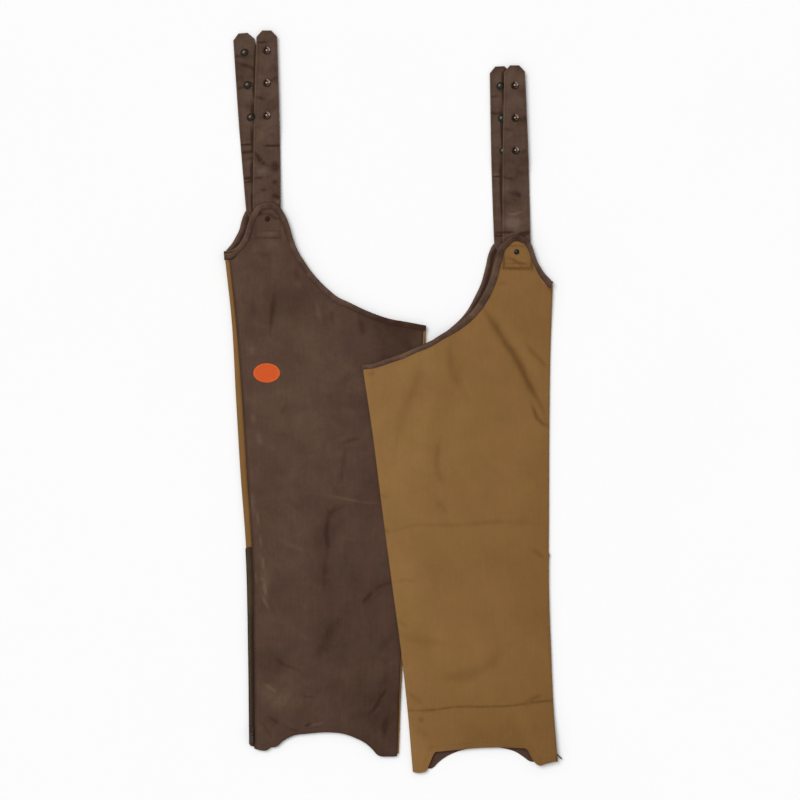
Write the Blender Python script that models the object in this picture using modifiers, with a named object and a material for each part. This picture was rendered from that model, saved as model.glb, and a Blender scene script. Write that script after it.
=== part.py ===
# A pair of field chaps laid flat: two canvas legs, one face up and one turned over on top of it.
# Lengths are in millimetres; +X is right, +Y is towards the waist, +Z is up from the surface they lie on.
import bpy
import bmesh
import math
import numpy as np

MM = 0.001

CLOTH = 1.5            # thickness of a canvas panel
STRAP_CLOTH = 1.8      # a strap is canvas folded double
TAPE = 1.0             # binding tape
ZIP_CLOTH = 1.2        # zip tape
SEAM_GAP = 0.3         # pieces stay this far apart at a seam
STRAP_GAP = 0.45       # a strap stays this far from the panel it is sewn to
PANEL_GAP = 0.6        # the two panels stay this far apart where they meet edge to edge
INNER_WRAP = 4.4       # how far the back panel wraps round the inner side

LAYER_APART = 4.2      # from the middle of the lower panel to the middle of the upper one
BOUND_APART = 5.0      # the same along the bound edges of the waist
STRAP_APART = 2.5      # added where two straps lie between the panels
LOFT = 0.8             # air between the panels, at the middle of the leg
OVER_LEG = 0.5         # the turned leg rests this far above the other one

BIND_WIDTH = 8.2       # binding shown on each face of a panel
BIND_GAP = 0.45        # tape stays this far from the panel it is folded over
BIND_LIFT = CLOTH / 2 + BIND_GAP + TAPE / 2
BIND_FOLD = 1.6        # how far the folded tape stands out past the cut edge
EDGE_INSET = BIND_FOLD + TAPE / 2 + 0.3
BIND_RISE = BIND_LIFT + TAPE / 2 - CLOTH / 2 + 0.05

STRAP_LENGTH = 361.0
STRAP_BASE_WIDTH = 49.0
STRAP_TIP_WIDTH = 36.5
STRAP_HIDDEN_WIDTH = 40.0
STRAP_HIDDEN = 46.0    # length of strap sewn under the tongue
STRAP_TIP_FLAT = 16.0  # straight end between the two chamfers
STRAP_CHAMFER = 11.5
SNAP_FROM_TIP = (35.4, 92.9, 150.4)
SNAP_POST = 3.0
SNAP_HOLE = 3.4
RIVET_POST = 2.0
RIVET_HOLE = 2.4
RIVET_HEAD = 5.0

ZIP_LENGTH = 352.0
PULL_LENGTH = 16.5
PULL_WIDTH = 7.0
PULL_THICK = 2.2
EYE_RADIUS = 1.7
BAR_RADIUS = 0.6
BAR_HOLE = 0.95
BAR_HEIGHT = 2.0       # bar's middle above the slider's plate
SLIDER_LENGTH = 16.0
SLIDER_WIDTH = 8.4
SLIDER_THICK = 2.0
SLIDER_GAP = 0.65      # between the slider's plate and the tape

PATCH_SIZE = (47.0, 34.0)

# Side lines of each leg: the outer fold, the seam beside it and the inner fold.
LEG_A_SIDES = (
    ("y", "outer", "seam", "inner"),
    (-618, -253.8, -244.6, 10.6),
    (-441, -255.8, -245.9, 17.9),
    (-260, -260.5, -249.4, 31.5),
    (-131, -270.1, -258.1, 41.2),
    (3, -278.2, -266.7, 51.3),
    (143, -286.0, -277.9, 59.5),
    (253, -297.7, -289.7, 65.5),
)
LEG_B_SIDES = (
    ("y", "outer", "seam", "inner"),
    (-644, 291.9, 275.9, 33.8),
    (-550, 284.4, 268.4, 25.8),
    (-441, 279.5, 263.5, 13.8),
    (-334, 275.9, 261.4, -0.7),
    (-211, 276.3, 265.3, -17.0),
    (-46, 277.0, 267.0, -38.1),
    (65, 278.4, 268.4, -54.7),
    (205, 283.0, 273.0, -74.3),
)

# Waist edges from the outer corner, over the strap's tongue, to the inner corner.
LEG_A_UPPER_TOP = (
    ("x", "y"),
    (-298.1, 265.1), (-286.7, 266.7), (-279.7, 270.8), (-272.6, 278.8), (-265.5, 292.1),
    (-261.1, 306.2), (-255.8, 321.3), (-248.2, 335.4), (-238.9, 339.3), (-230.1, 341.3),
    (-217.7, 341.8), (-207.1, 341.3), (-198.1, 339.8), (-188.9, 325.7), (-182.3, 307.3),
    (-177.2, 289.0), (-168.3, 266.2), (-156.6, 247.1), (-143.4, 228.2), (-128.7, 211.2),
    (-111.5, 195.1), (-97.9, 184.3), (-78.9, 175.4), (-49.2, 161.2), (-3.2, 145.0),
    (23.9, 140.2), (59.5, 133.5),
)
LEG_A_LOWER_TOP = (
    ("x", "y"),
    (-299.5, 262.0), (-293.8, 269.0), (-285.0, 279.7), (-277.9, 292.1), (-272.6, 302.7),
    (-269.0, 316.8), (-265.5, 327.4), (-260.2, 337.5), (-249.6, 341.3), (-228.3, 342.0),
    (-217.7, 340.5), (-210.6, 337.2), (-201.8, 322.1), (-194.7, 302.7), (-187.6, 281.4),
    (-178.8, 260.2), (-166.4, 240.7), (-150.4, 220.4), (-132.8, 201.8), (-109.7, 182.3),
    (-85.0, 169.9), (-58.4, 160.2), (-28.3, 150.4), (3.5, 141.6), (33.6, 135.4),
    (58.9, 131.9),
)
LEG_B_UPPER_TOP = (
    ("x", "y"),
    (282.8, 210.3), (276.1, 217.7), (269.0, 224.8), (262.0, 235.4), (256.6, 246.0),
    (249.6, 267.3), (244.3, 280.5), (237.2, 282.8), (219.5, 283.9), (201.8, 282.8),
    (193.6, 280.5), (179.3, 250.8), (166.4, 211.9), (145.7, 170.3), (130.1, 149.6),
    (114.5, 136.5), (83.2, 116.8), (59.1, 102.0), (44.2, 96.1), (17.2, 83.9),
    (-9.9, 74.3), (-38.4, 65.5), (-54.0, 64.1),
)
LEG_B_LOWER_TOP = (
    ("x", "y"),
    (279.7, 206.2), (265.5, 214.2), (254.9, 224.8), (246.0, 238.9), (239.8, 254.9),
    (233.6, 269.0), (228.3, 277.9), (219.5, 281.8), (203.6, 283.2), (187.6, 282.1),
    (179.1, 278.8), (169.7, 262.0), (163.9, 237.7), (154.0, 203.6), (148.1, 191.2),
    (127.4, 154.7), (100.9, 128.7), (78.1, 112.6), (59.1, 103.0), (17.2, 84.8),
    (-9.9, 75.2), (-38.4, 66.4), (-54.0, 65.1),
)

# Hem edges from the outer corner to the inner one: each panel has an arch over the boot.
LEG_A_UPPER_HEM = (
    ("x", "y"),
    (-253.8, -611.2), (-241.3, -616.7), (-222.0, -617.7), (-217.7, -614.0), (-207.1, -612.2),
    (-194.2, -601.6), (-177.0, -592.6), (-149.0, -588.7), (-119.1, -586.6), (-86.9, -589.4),
    (-67.6, -596.1), (-50.4, -604.8), (-37.5, -615.6), (-26.9, -626.9), (-5.3, -629.4),
    (6.4, -628.4), (10.6, -625.5),
)
LEG_A_LOWER_HEM = (
    ("x", "y"),
    (-253.8, -610.6), (-231.9, -614.2), (-224.8, -610.6), (-212.4, -588.5), (-164.6, -582.3),
    (-111.5, -580.6), (-65.5, -584.1), (-47.8, -593.0), (-30.1, -619.5), (-8.8, -624.8),
    (10.6, -623.9),
)
LEG_B_UPPER_HEM = (
    ("x", "y"),
    (292.6, -636.3), (269.6, -642.0), (258.5, -644.8), (255.5, -643.5), (244.3, -629.5),
    (237.6, -617.0), (234.0, -614.6), (228.0, -614.3), (190.8, -613.3), (146.7, -614.5),
    (120.4, -616.8), (82.0, -620.6), (74.6, -621.6), (72.4, -624.6), (67.3, -635.6),
    (61.6, -649.5), (58.4, -655.6), (56.5, -656.4), (36.5, -655.8), (34.2, -653.0),
)
LEG_B_LOWER_HEM = (
    ("x", "y"),
    (292.1, -635.4), (269.0, -639.0), (250.3, -639.5), (243.6, -638.8), (231.2, -630.5),
    (217.7, -621.8), (196.6, -615.6), (159.3, -612.4), (123.7, -618.3), (104.4, -624.8),
    (89.2, -633.3), (77.7, -643.0), (69.9, -650.7), (62.3, -651.5), (34.5, -650.5),
)

# The largest folds, each a soft trough along a line; a negative depth is a ridge.
LEG_A_FOLDS = (
    ("x0", "y0", "x1", "y1", "half_width", "depth"),
    (-209, 190, -216, 126, 17, 1.3),
    (-87, -69, -85, -96, 16, 1.1),
    (-85, -96, -92, -152, 16, 1.2),
    (-94, -191, -115, -205, 17, 1.2),
    (-115, -205, -119, -281, 17, 1.8),
    (-119, -281, -124, -340, 17, 1.4),
    (-2, -322, -58, -363, 16, 1.2),
    (-94, -388, -129, -458, 26, 1.2),
    (-207, -457, -173, -474, 15, 0.9),
    (-16, -517, -37, -549, 14, 0.9),
    (-232, -560, -200, -580, 14, 0.9),
    (-158, -215, -160, -330, 28, -0.7),
    (-70, -215, -72, -330, 28, -0.7),
)
LEG_B_FOLDS = (
    ("x0", "y0", "x1", "y1", "half_width", "depth"),
    (176, 140, 211, 87, 15, 1.7),
    (211, 87, 258, -12, 15, 1.6),
    (101, 84, 122, 19, 18, 1.1),
    (51, 60, 27, -7, 24, 1.1),
    (27, -7, -2, -104, 24, 1.0),
    (83, -69, 80, -131, 18, 1.0),
    (78, -175, 101, -202, 16, 0.9),
    (-5, -232, 39, -222, 15, 0.8),
    (110, -219, 260, -216, 15, 0.9),
    (12, -418, 92, -432, 16, 1.1),
    (74, -494, 163, -480, 16, 1.0),
    (163, -480, 204, -432, 16, 1.0),
    (165, 60, 215, -20, 30, -0.7),
    (20, -460, 100, -470, 22, -0.6),
)

# Width of a strap, by the distance from its tip.
STRAP_TAPER = (
    ("from_tip", "width"),
    (STRAP_CHAMFER, STRAP_TIP_WIDTH), (79, 40.7), (123, 43.4), (176, 46.0), (238, 47.8),
    (300, STRAP_BASE_WIDTH),
)

# Height of the middle of a strap above the surface, by the distance from its sewn end.
LOWER_STRAP_LIE = (
    ("along", "height"),
    (90, 1.6), (125, 0.95), (176, 0.95), (198, 2.6), (361, 2.6),
)
UPPER_STRAP_LIE_A = (
    ("along", "height"),
    (90, 5.0), (125, 3.5), (165, 3.8), (198, 6.2), (361, 6.2),
)
UPPER_STRAP_LIE_B = (
    ("along", "height"),
    (90, 5.2), (125, 3.6), (165, 4.2), (198, 8.0), (361, 8.0),
)

PANEL_COLUMNS = 22
PANEL_ROWS = 27
HIDDEN_COLUMNS = 18
HIDDEN_ROWS_A = 14
HIDDEN_ROWS_B = 20
FOLD_STEPS = (-90, -45, 0, 45, 90)


def column(table, name):
    index = table[0].index(name)
    return np.array([float(row[index]) for row in table[1:]])


def through(at, knots, values):
    """Smooth curve through the knots, straight on past its ends."""
    at = np.asarray(at, dtype=float)
    slopes = np.gradient(values, knots)
    cell = np.clip(np.searchsorted(knots, at) - 1, 0, len(knots) - 2)
    width = knots[cell + 1] - knots[cell]
    s = (np.clip(at, knots[0], knots[-1]) - knots[cell]) / width
    start, end = values[cell], values[cell + 1]
    curve = (
        start * (1 + 2 * s) * (1 - s) ** 2
        + end * s * s * (3 - 2 * s)
        + width * slopes[cell] * s * (1 - s) ** 2
        - width * slopes[cell + 1] * s * s * (1 - s)
    )
    below = np.minimum(at - knots[0], 0) * slopes[0]
    above = np.maximum(at - knots[-1], 0) * slopes[-1]
    return curve + below + above


def outline(table, step=2.5):
    """Points along a smooth line through the table's corners."""
    x, y = column(table, "x"), column(table, "y")
    chord = np.concatenate(([0], np.cumsum(np.hypot(np.diff(x), np.diff(y)))))
    at = np.linspace(0, chord[-1], int(chord[-1] / step) + 1)
    return np.stack([through(at, chord, x), through(at, chord, y)], axis=1)


def inset(line, distance, inward):
    """The line moved sideways; inward is +1 where the cloth lies to its right."""
    tangent = np.gradient(line, axis=0)
    tangent /= np.hypot(tangent[:, :1], tangent[:, 1:])
    normal = np.stack([tangent[:, 1], -tangent[:, 0]], axis=1) * inward
    return line + normal * distance, normal


def ease(value):
    value = np.clip(value, 0, 1)
    return value * value * (3 - 2 * value)


def plateau(distance, flat, fade):
    """One up to flat, then falling softly to nothing over fade."""
    return 1 - ease((distance - flat) / fade)


def distance_to_line(x, y, line):
    gap = np.hypot(x[..., None] - line[:, 0], y[..., None] - line[:, 1])
    return gap.min(axis=-1)


def distance_to_segment(x, y, x0, y0, x1, y1):
    length = (x1 - x0) ** 2 + (y1 - y0) ** 2
    s = np.clip(((x - x0) * (x1 - x0) + (y - y0) * (y1 - y0)) / length, 0, 1)
    return np.hypot(x - x0 - s * (x1 - x0), y - y0 - s * (y1 - y0))


class Leg:
    """The shape of one leg as it lies: its outlines and the heights of its two panels."""

    def __init__(self, name, sides, tops, hems, folds, turned, under=None):
        self.name = name
        self.turned = turned
        self.under = under
        self.rows = column(sides, "y")
        self.lines = {key: column(sides, key) for key in ("outer", "seam", "inner")}
        self.inward = 1 if self.lines["inner"][0] > self.lines["outer"][0] else -1
        self.tops = {layer: inset(outline(tops[layer]), EDGE_INSET, self.inward) for layer in tops}
        self.hems = {layer: outline(hems[layer]) for layer in hems}
        self.folds = folds
        self.strap_zone = None
        self.bulge = None

    def line(self, key, y):
        return through(y, self.rows, self.lines[key])

    def base(self, x, y):
        """Height of the surface that the leg lies on: the floor, or the other leg."""
        if self.under is None:
            return np.zeros_like(x)
        past_edge = x - self.under.line("inner", y)
        over = plateau(past_edge, 8, 58) * ease((y + 575) / 80)
        top = self.under.upper(x, y, folded=False) + CLOTH / 2 + OVER_LEG
        return over * top

    def lower(self, x, y):
        rise = plateau(distance_to_line(x, y, self.tops["lower"][0]), 20, 60)
        return self.base(x, y) + CLOTH / 2 + BIND_RISE * rise

    def apart(self, x, y, folded=True):
        outer, inner = self.line("outer", y), self.line("inner", y)
        across = np.clip((x - outer) / (inner - outer), 0, 1)
        edge = distance_to_line(x, y, self.tops["upper"][0])
        bound = plateau(edge, 10, 100)
        zone_x, zone_y = self.strap_zone
        strap = 1 / (1 + (np.hypot(x - zone_x, y - zone_y) / 78) ** 4)
        apart = LAYER_APART + LOFT * np.sqrt(4 * across * (1 - across)) * (1 - bound)
        apart = apart + (BOUND_APART - LAYER_APART) * bound + STRAP_APART * strap
        if self.bulge is not None:
            bulge_x, bulge_y, bulge_height, bulge_radius = self.bulge
            far = np.hypot(x - bulge_x, y - bulge_y) / bulge_radius
            apart = apart + bulge_height / (1 + far ** 4)
        if folded:
            keep = ease((edge - 12) / 40)
            for row in self.folds[1:]:
                x0, y0, x1, y1, half_width, depth = row
                far = distance_to_segment(x, y, x0, y0, x1, y1) / half_width
                apart = apart - depth * np.exp(-far ** 2) * keep
        return apart

    def upper(self, x, y, folded=True):
        return self.lower(x, y) + self.apart(x, y, folded)

    def height(self, layer, x, y):
        return self.lower(x, y) if layer == "lower" else self.upper(x, y)


def line_by_share(line, side0, side1):
    """A waist or hem line as its height for each share of the width."""
    share = (line[:, 0] - side0(line[:, 1])) / (side1(line[:, 1]) - side0(line[:, 1]))
    order = np.argsort(share)
    return share[order], line[order, 1]


def spread_columns(line, side0, side1, count):
    """Shares of the width, closer together where the waist line is steep."""
    share, _ = line_by_share(line, side0, side1)
    x, y = line[:, 0], line[:, 1]
    length = np.concatenate(([0], np.cumsum(np.hypot(np.diff(x), np.diff(y)))))
    even = np.linspace(0, 1, count)
    steep = np.interp(even * length[-1], length, np.sort(share))
    shares = 0.75 * steep + 0.25 * even
    shares[0], shares[-1] = 0.0, 1.0
    return shares


def panel_plan(leg, layer, side0, side1, columns, rows):
    """Plan points of a panel: rows from hem to waist, columns from outer to inner side."""
    top_share, top_y = line_by_share(leg.tops[layer][0], side0, side1)
    hem_share, hem_y = line_by_share(leg.hems[layer], side0, side1)
    shares = spread_columns(leg.tops[layer][0], side0, side1, columns)
    y_top = np.interp(shares, top_share, top_y)
    y_hem = np.interp(shares, hem_share, hem_y)
    v = np.asarray(rows)[:, None]
    y = y_hem + v * (y_top - y_hem)
    x = side0(y) + shares * (side1(y) - side0(y))
    return x, y


def share_of_height(leg, layer, y, side):
    """Row share at which the panel's side reaches the height y."""
    end = 0 if side == "outer" else -1
    hem, top = leg.hems[layer][end, 1], leg.tops[layer][0][end, 1]
    return (y - hem) / (top - hem)


def wall_from_cells(name, points, faces, thickness, material):
    """A closed cloth wall about a sheet of middle points."""
    used = sorted({corner for face in faces for corner in face})
    number = {corner: index for index, corner in enumerate(used)}
    sheet = [tuple(MM * v for v in points[corner]) for corner in used]
    cells = [tuple(number[corner] for corner in face) for face in faces]
    mesh = bpy.data.meshes.new(name)
    mesh.from_pydata(sheet, [], cells)
    mesh.materials.append(material)
    piece = bpy.data.objects.new(name, mesh)
    PARTS.objects.link(piece)
    wall = piece.modifiers.new("wall", "SOLIDIFY")
    wall.thickness = thickness * MM
    wall.offset = 0
    wall.use_even_offset = True
    return piece


def cells_of(rows, columns, keep=None, width=None, first=0):
    """Four-cornered cells of a grid of points; keep drops the ones that are cut away."""
    width = width or columns
    faces = []
    for i in range(rows - 1):
        for j in range(columns - 1):
            if keep is None or keep[i][j]:
                corner = i * width + j + first
                faces.append((corner, corner + 1, corner + width + 1, corner + width))
    return faces


def cloth_wall(name, grid, thickness, material, keep=None):
    grid = np.asarray(grid, dtype=float)
    faces = cells_of(grid.shape[0], grid.shape[1], keep)
    return wall_from_cells(name, grid.reshape(-1, 3), faces, thickness, material)


def fold_points(edge, inward, y, z_start, z_end, thickness, steps=FOLD_STEPS):
    """Middle points of cloth folded round a leg's side, from one height to the other."""
    middle, radius = (z_start + z_end) / 2, (z_end - z_start) / 2
    centre = edge + inward * (np.abs(radius) + thickness / 2)
    points = []
    for step in steps:
        angle = math.radians(step)
        x = centre - inward * np.abs(radius) * math.cos(angle)
        points.append(np.stack([x, y, middle + radius * math.sin(angle)], axis=-1))
    return points


def wrapping_panel(leg, layer, columns, rows, zip_top, wrap_top, material, name):
    """The back panel: it lies in one layer and wraps round both sides into the other one."""
    other = "upper" if layer == "lower" else "lower"
    rows = sorted(set(list(rows) + [
        share_of_height(leg, layer, zip_top, "outer"),
        share_of_height(leg, layer, zip_top + 2, "outer"),
        share_of_height(leg, layer, wrap_top["outer"], "outer"),
        share_of_height(leg, layer, wrap_top["inner"], "inner"),
    ]))
    turn = leg.inward

    def reach(y, key):
        x = leg.line(key, y)
        return np.abs(leg.height("upper", x, y) - leg.height("lower", x, y)) / 2 + CLOTH / 2

    def side0(y):
        return leg.line("outer", y) + turn * reach(y, "outer")

    def side1(y):
        return leg.line("inner", y) - turn * reach(y, "inner")

    x, y = panel_plan(leg, layer, side0, side1, columns, rows)
    flat = np.stack([x, y, leg.height(layer, x, y)], axis=-1)
    strips = []
    for key, end, inward in (("outer", 0, turn), ("inner", -1, -turn)):
        side_y = y[:, end]
        edge = leg.line(key, side_y)
        z_start, z_end = flat[:, end, 2], leg.height(other, x[:, end], side_y)
        folded = fold_points(edge, inward, side_y, z_start, z_end, CLOTH)[1:]
        if key == "outer":
            wrap_x = leg.line("seam", side_y) - inward * PANEL_GAP / 2
        else:
            wrap_x = edge + inward * INNER_WRAP
        wrap = np.stack([wrap_x, side_y, leg.height(other, wrap_x, side_y)], axis=-1)
        strips.append(folded + [wrap])
    outer, inner = strips
    flap = np.stack([leg.line("outer", y[:, 0]), y[:, 0], flat[:, 0, 2]], axis=-1)
    grid = np.stack([p for p in reversed(outer)] + [flat[:, j] for j in range(columns)] + inner, axis=1)
    keep = [[True] * (grid.shape[1] - 1) for _ in range(len(rows) - 1)]
    for i in range(len(rows) - 1):
        middle = (y[i, 0] + y[i + 1, 0]) / 2
        for j in range(len(outer)):
            keep[i][j] = zip_top + 2 < middle < wrap_top["outer"]
        middle = (y[i, -1] + y[i + 1, -1]) / 2
        for j in range(len(inner)):
            keep[i][-1 - j] = middle < wrap_top["inner"]
    if layer == "upper":
        faces_flap = [y[i + 1, 0] <= zip_top + 0.01 for i in range(len(rows) - 1)]
        piece = panel_with_flap(name, grid, keep, flap, len(outer), faces_flap, material)
    else:
        piece = cloth_wall(name, grid, CLOTH, material, keep)
    return piece, flat[-1, :, :2]


def panel_with_flap(name, grid, keep, flap, start, faces_flap, material):
    """The wrapping panel with a plain free edge beside its flat part, above the zip."""
    rows, columns = grid.shape[:2]
    wide = np.concatenate([flap[:, None, :], grid], axis=1)
    faces = cells_of(rows, columns, keep, columns + 1, 1)
    for i in range(rows - 1):
        if faces_flap[i]:
            edge, flat = i * (columns + 1), i * (columns + 1) + start + 1
            faces.append((edge, flat, flat + columns + 1, edge + columns + 1))
    return wall_from_cells(name, wide.reshape(-1, 3), faces, CLOTH, material)


def front_panel(leg, layer, columns, rows, material, name):
    """The front panel: it fills its layer between the back panel's two wraps."""
    def side0(y):
        return leg.line("seam", y) + leg.inward * PANEL_GAP / 2

    def side1(y):
        return leg.line("inner", y) - leg.inward * (INNER_WRAP + PANEL_GAP)

    x, y = panel_plan(leg, layer, side0, side1, columns, rows)
    grid = np.stack([x, y, leg.height(layer, x, y)], axis=-1)
    return cloth_wall(name, grid, CLOTH, material), grid[-1, :, :2]


def binding(leg, layer, edge, x_from, x_to, material, name):
    """Tape folded over a panel's own cut edge, between two places across the leg."""
    low, high = min(x_from, x_to), max(x_from, x_to)
    edge = edge[np.argsort(edge[:, 0])]
    ends = np.array([[x, np.interp(x, edge[:, 0], edge[:, 1])] for x in (low, high)])
    between = edge[(edge[:, 0] > low) & (edge[:, 0] < high)]
    clear = [np.hypot(*(ends - point).T).min() > 2.5 for point in between]
    line = np.concatenate((ends[:1], between[clear], ends[1:]))
    along = np.diff(line, axis=0)
    along /= np.hypot(along[:, :1], along[:, 1:])
    before = np.concatenate((along[:1], along))
    after = np.concatenate((along, along[-1:]))
    mitre = before + after
    mitre /= np.sum(mitre * before, axis=1, keepdims=True)
    normal = np.stack([mitre[:, 1], -mitre[:, 0]], axis=1)
    x, y = line.T
    nx, ny = normal.T
    section = (
        (BIND_WIDTH, BIND_LIFT),
        (-0.3, BIND_LIFT),
        (-BIND_FOLD, BIND_LIFT * 0.55),
        (-BIND_FOLD, -BIND_LIFT * 0.55),
        (-0.3, -BIND_LIFT),
        (BIND_WIDTH, -BIND_LIFT),
    )
    columns = []
    for inward, lift in section:
        px, py = x + nx * inward, y + ny * inward
        hold = max(inward, 0)
        z = leg.height(layer, x + nx * hold, y + ny * hold) + lift
        columns.append(np.stack([px, py, z], axis=-1))
    return cloth_wall(name, np.stack(columns, axis=1), TAPE, material)


class Strap:
    """A tapered strap from under its tongue to a chamfered tip."""

    def __init__(self, leg, layer, base, tip, lie):
        self.leg, self.layer = leg, layer
        self.base, self.tip = np.array(base), np.array(tip)
        self.along = (self.tip - self.base) / np.hypot(*(self.tip - self.base))
        self.across = np.array([self.along[1], -self.along[0]])
        self.lie_at, self.lie = column(lie, "along"), column(lie, "height")

    def width(self, at):
        from_tip = STRAP_LENGTH - at
        width = np.interp(from_tip, column(STRAP_TAPER, "from_tip"), column(STRAP_TAPER, "width"))
        hidden = STRAP_HIDDEN_WIDTH + (STRAP_BASE_WIDTH - STRAP_HIDDEN_WIDTH) * ease((at - 34) / 14)
        width = np.minimum(width, hidden)
        chamfer = STRAP_TIP_FLAT + (STRAP_TIP_WIDTH - STRAP_TIP_FLAT) * from_tip / STRAP_CHAMFER
        return np.minimum(width, chamfer)

    def height(self, x, y, at):
        lift = CLOTH / 2 + STRAP_GAP + STRAP_CLOTH / 2
        sewn = self.leg.height(self.layer, x, y) + (lift if self.layer == "lower" else -lift)
        free = np.interp(at, self.lie_at, self.lie)
        return sewn + (free - sewn) * ease((at - STRAP_HIDDEN - 6) / 42)

    def point(self, at, side):
        x, y = self.base + self.along * at + self.across * side
        return np.array([x, y, float(self.height(np.array(x), np.array(y), at))])

    def build(self, name, material):
        stops = [0, 16, 32, 44, 54, 66, 80, 95, 125, 150, 176, 198, 240, 290]
        stops += [STRAP_LENGTH - STRAP_CHAMFER, STRAP_LENGTH]
        grid = []
        for at in stops:
            half = float(self.width(at)) / 2
            grid.append([self.point(at, side) for side in (-half, 0, half)])
        return cloth_wall(name, grid, STRAP_CLOTH, material)


def helper(piece):
    piece.hide_render = True
    piece.display_type = "WIRE"
    for collection in list(piece.users_collection):
        collection.objects.unlink(piece)
    CUTTERS.objects.link(piece)
    return piece


def cylinder(name, radius, length, centre, sides=12, axis="Z"):
    turn = {"Z": (0, 0, math.radians(11)), "X": (0, math.pi / 2, 0)}[axis]
    bpy.ops.mesh.primitive_cylinder_add(
        vertices=sides, radius=radius * MM, depth=length * MM,
        location=[MM * v for v in centre], rotation=turn)
    piece = bpy.context.object
    piece.name = name
    return piece


def box(name, size, centre):
    bpy.ops.mesh.primitive_cube_add(size=1, location=[MM * v for v in centre])
    piece = bpy.context.object
    piece.name = name
    piece.scale = [MM * v for v in size]
    bpy.ops.object.transform_apply(location=False, rotation=False, scale=True)
    return piece


def combine(piece, other, operation):
    step = piece.modifiers.new(operation.lower(), "BOOLEAN")
    step.operation = operation
    step.solver = "EXACT"
    step.object = other


def punch(piece, x, y, radius):
    cutter = helper(cylinder(piece.name + "_hole", radius, 60, (x, y, 0)))
    combine(piece, cutter, "DIFFERENCE")


def turned(name, profile, centre, material, sides=12):
    """A round piece from its profile of radius and height, turned about a vertical axis."""
    points = [(r * MM, 0.0, z * MM) for r, z in profile]
    mesh = bpy.data.meshes.new(name)
    mesh.from_pydata(points, [(i, i + 1) for i in range(len(points) - 1)], [])
    mesh.materials.append(material)
    piece = bpy.data.objects.new(name, mesh)
    PARTS.objects.link(piece)
    piece.location = [MM * v for v in centre]
    screw = piece.modifiers.new("turn", "SCREW")
    screw.steps = sides
    screw.render_steps = sides
    screw.use_merge_vertices = True
    screw.merge_threshold = 0.00001
    return piece


def upper_snap(strap, at, name):
    """An open ring on the strap's face, its post, and the stud under the strap."""
    x, y, z = strap.point(at, 0)
    face = STRAP_CLOTH / 2 + SEAM_GAP
    profile = (
        (0.0, face + 0.4), (2.4, face + 0.4), (3.4, face + 1.5), (6.2, face + 1.1), (7.0, face),
        (SNAP_POST, face), (SNAP_POST, -face), (5.0, -face), (5.0, -face - 0.8),
        (3.2, -face - 0.9), (3.0, -face - 2.6), (0.0, -face - 2.6),
    )
    return turned(name, profile, (x, y, z), GUNMETAL)


def lower_snap(strap, at, name):
    """A domed cap on the strap's face, its post, and a flat ring under the strap."""
    x, y, z = strap.point(at, 0)
    face = STRAP_CLOTH / 2 + SEAM_GAP
    profile = (
        (0.0, face + 3.0), (3.4, face + 2.5), (5.4, face + 1.2), (7.8, face + 0.9), (8.0, face),
        (SNAP_POST, face), (SNAP_POST, -face), (6.6, -face), (6.6, -face - 1.1),
        (0.0, -face - 1.1),
    )
    return turned(name, profile, (x, y, z), GUNMETAL)


def rivet(leg, layer, x, y, material, name):
    """A rivet through the tongue and the strap behind it."""
    z = float(leg.height(layer, np.array(x), np.array(y)))
    up = 1 if layer == "upper" else -1
    seat = CLOTH / 2 + SEAM_GAP
    crown = 1.7 if layer == "upper" else z - seat - 0.1
    end = CLOTH / 2 + STRAP_GAP + STRAP_CLOTH
    profile = [
        (0.0, seat + crown), (RIVET_HEAD * 0.62, seat + crown * 0.85), (RIVET_HEAD, seat + crown * 0.3),
        (RIVET_HEAD, seat), (RIVET_POST, seat), (RIVET_POST, -end), (0.0, -end),
    ]
    if up < 0:
        profile = [(r, -h) for r, h in reversed(profile)]
        profile[-1] = (0.0, -seat - crown)
        profile[-2] = (RIVET_HEAD * 0.62, -seat - crown)
        profile[-3] = (RIVET_HEAD, -seat - crown * 0.6)
    return turned(name, profile, (x, y, z), material)


def zip_tape_a(leg, zip_top, name, material):
    """Zip tape in place of the wrap: round the outer fold and on to the front panel."""
    y = np.linspace(leg.hems["lower"][0, 1] + 0.5, zip_top - 0.5, 12)
    edge = leg.line("outer", y)
    z_low, z_up = leg.lower(edge, y), leg.upper(edge, y)
    steps = (-52, -15, 20, 55, 90)
    folded = fold_points(edge, leg.inward, y, z_low, z_up, ZIP_CLOTH, steps)
    seam = leg.line("seam", y) - leg.inward * PANEL_GAP / 2
    last = np.stack([seam, y, leg.upper(seam, y)], axis=-1)
    return cloth_wall(name, np.stack(folded + [last], axis=1), ZIP_CLOTH, material)


def zip_tape_b(leg, zip_top, inset_at, name, material):
    """Zip tape tucked under the back panel's free edge and folded down to the front panel."""
    y = np.linspace(leg.hems["upper"][0, 1] + 1.5, zip_top - 0.5, 14)
    edge = leg.line("outer", y) + leg.inward * inset_at(y)
    tuck = CLOTH / 2 + SEAM_GAP + ZIP_CLOTH / 2
    z_up = leg.upper(edge, y) - tuck
    z_low = leg.lower(edge, y)
    folded = fold_points(edge, leg.inward, y, z_up, z_low, ZIP_CLOTH)
    start = folded[0] + np.array([leg.inward * 5.0, 0, 0])
    start[:, 2] = leg.upper(start[:, 0], y) - tuck
    seam = leg.line("seam", y) - leg.inward * PANEL_GAP / 2
    turned_in = np.abs(z_up - z_low) / 2 + ZIP_CLOTH
    seam = edge + leg.inward * np.maximum(leg.inward * (seam - edge), turned_in)
    last = np.stack([seam, y, leg.lower(seam, y)], axis=-1)
    return cloth_wall(name, np.stack([start] + folded + [last], axis=1), ZIP_CLOTH, material)


def place(piece, pivot, rotation):
    piece.location = [MM * v for v in pivot]
    piece.rotation_euler = rotation


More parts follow.
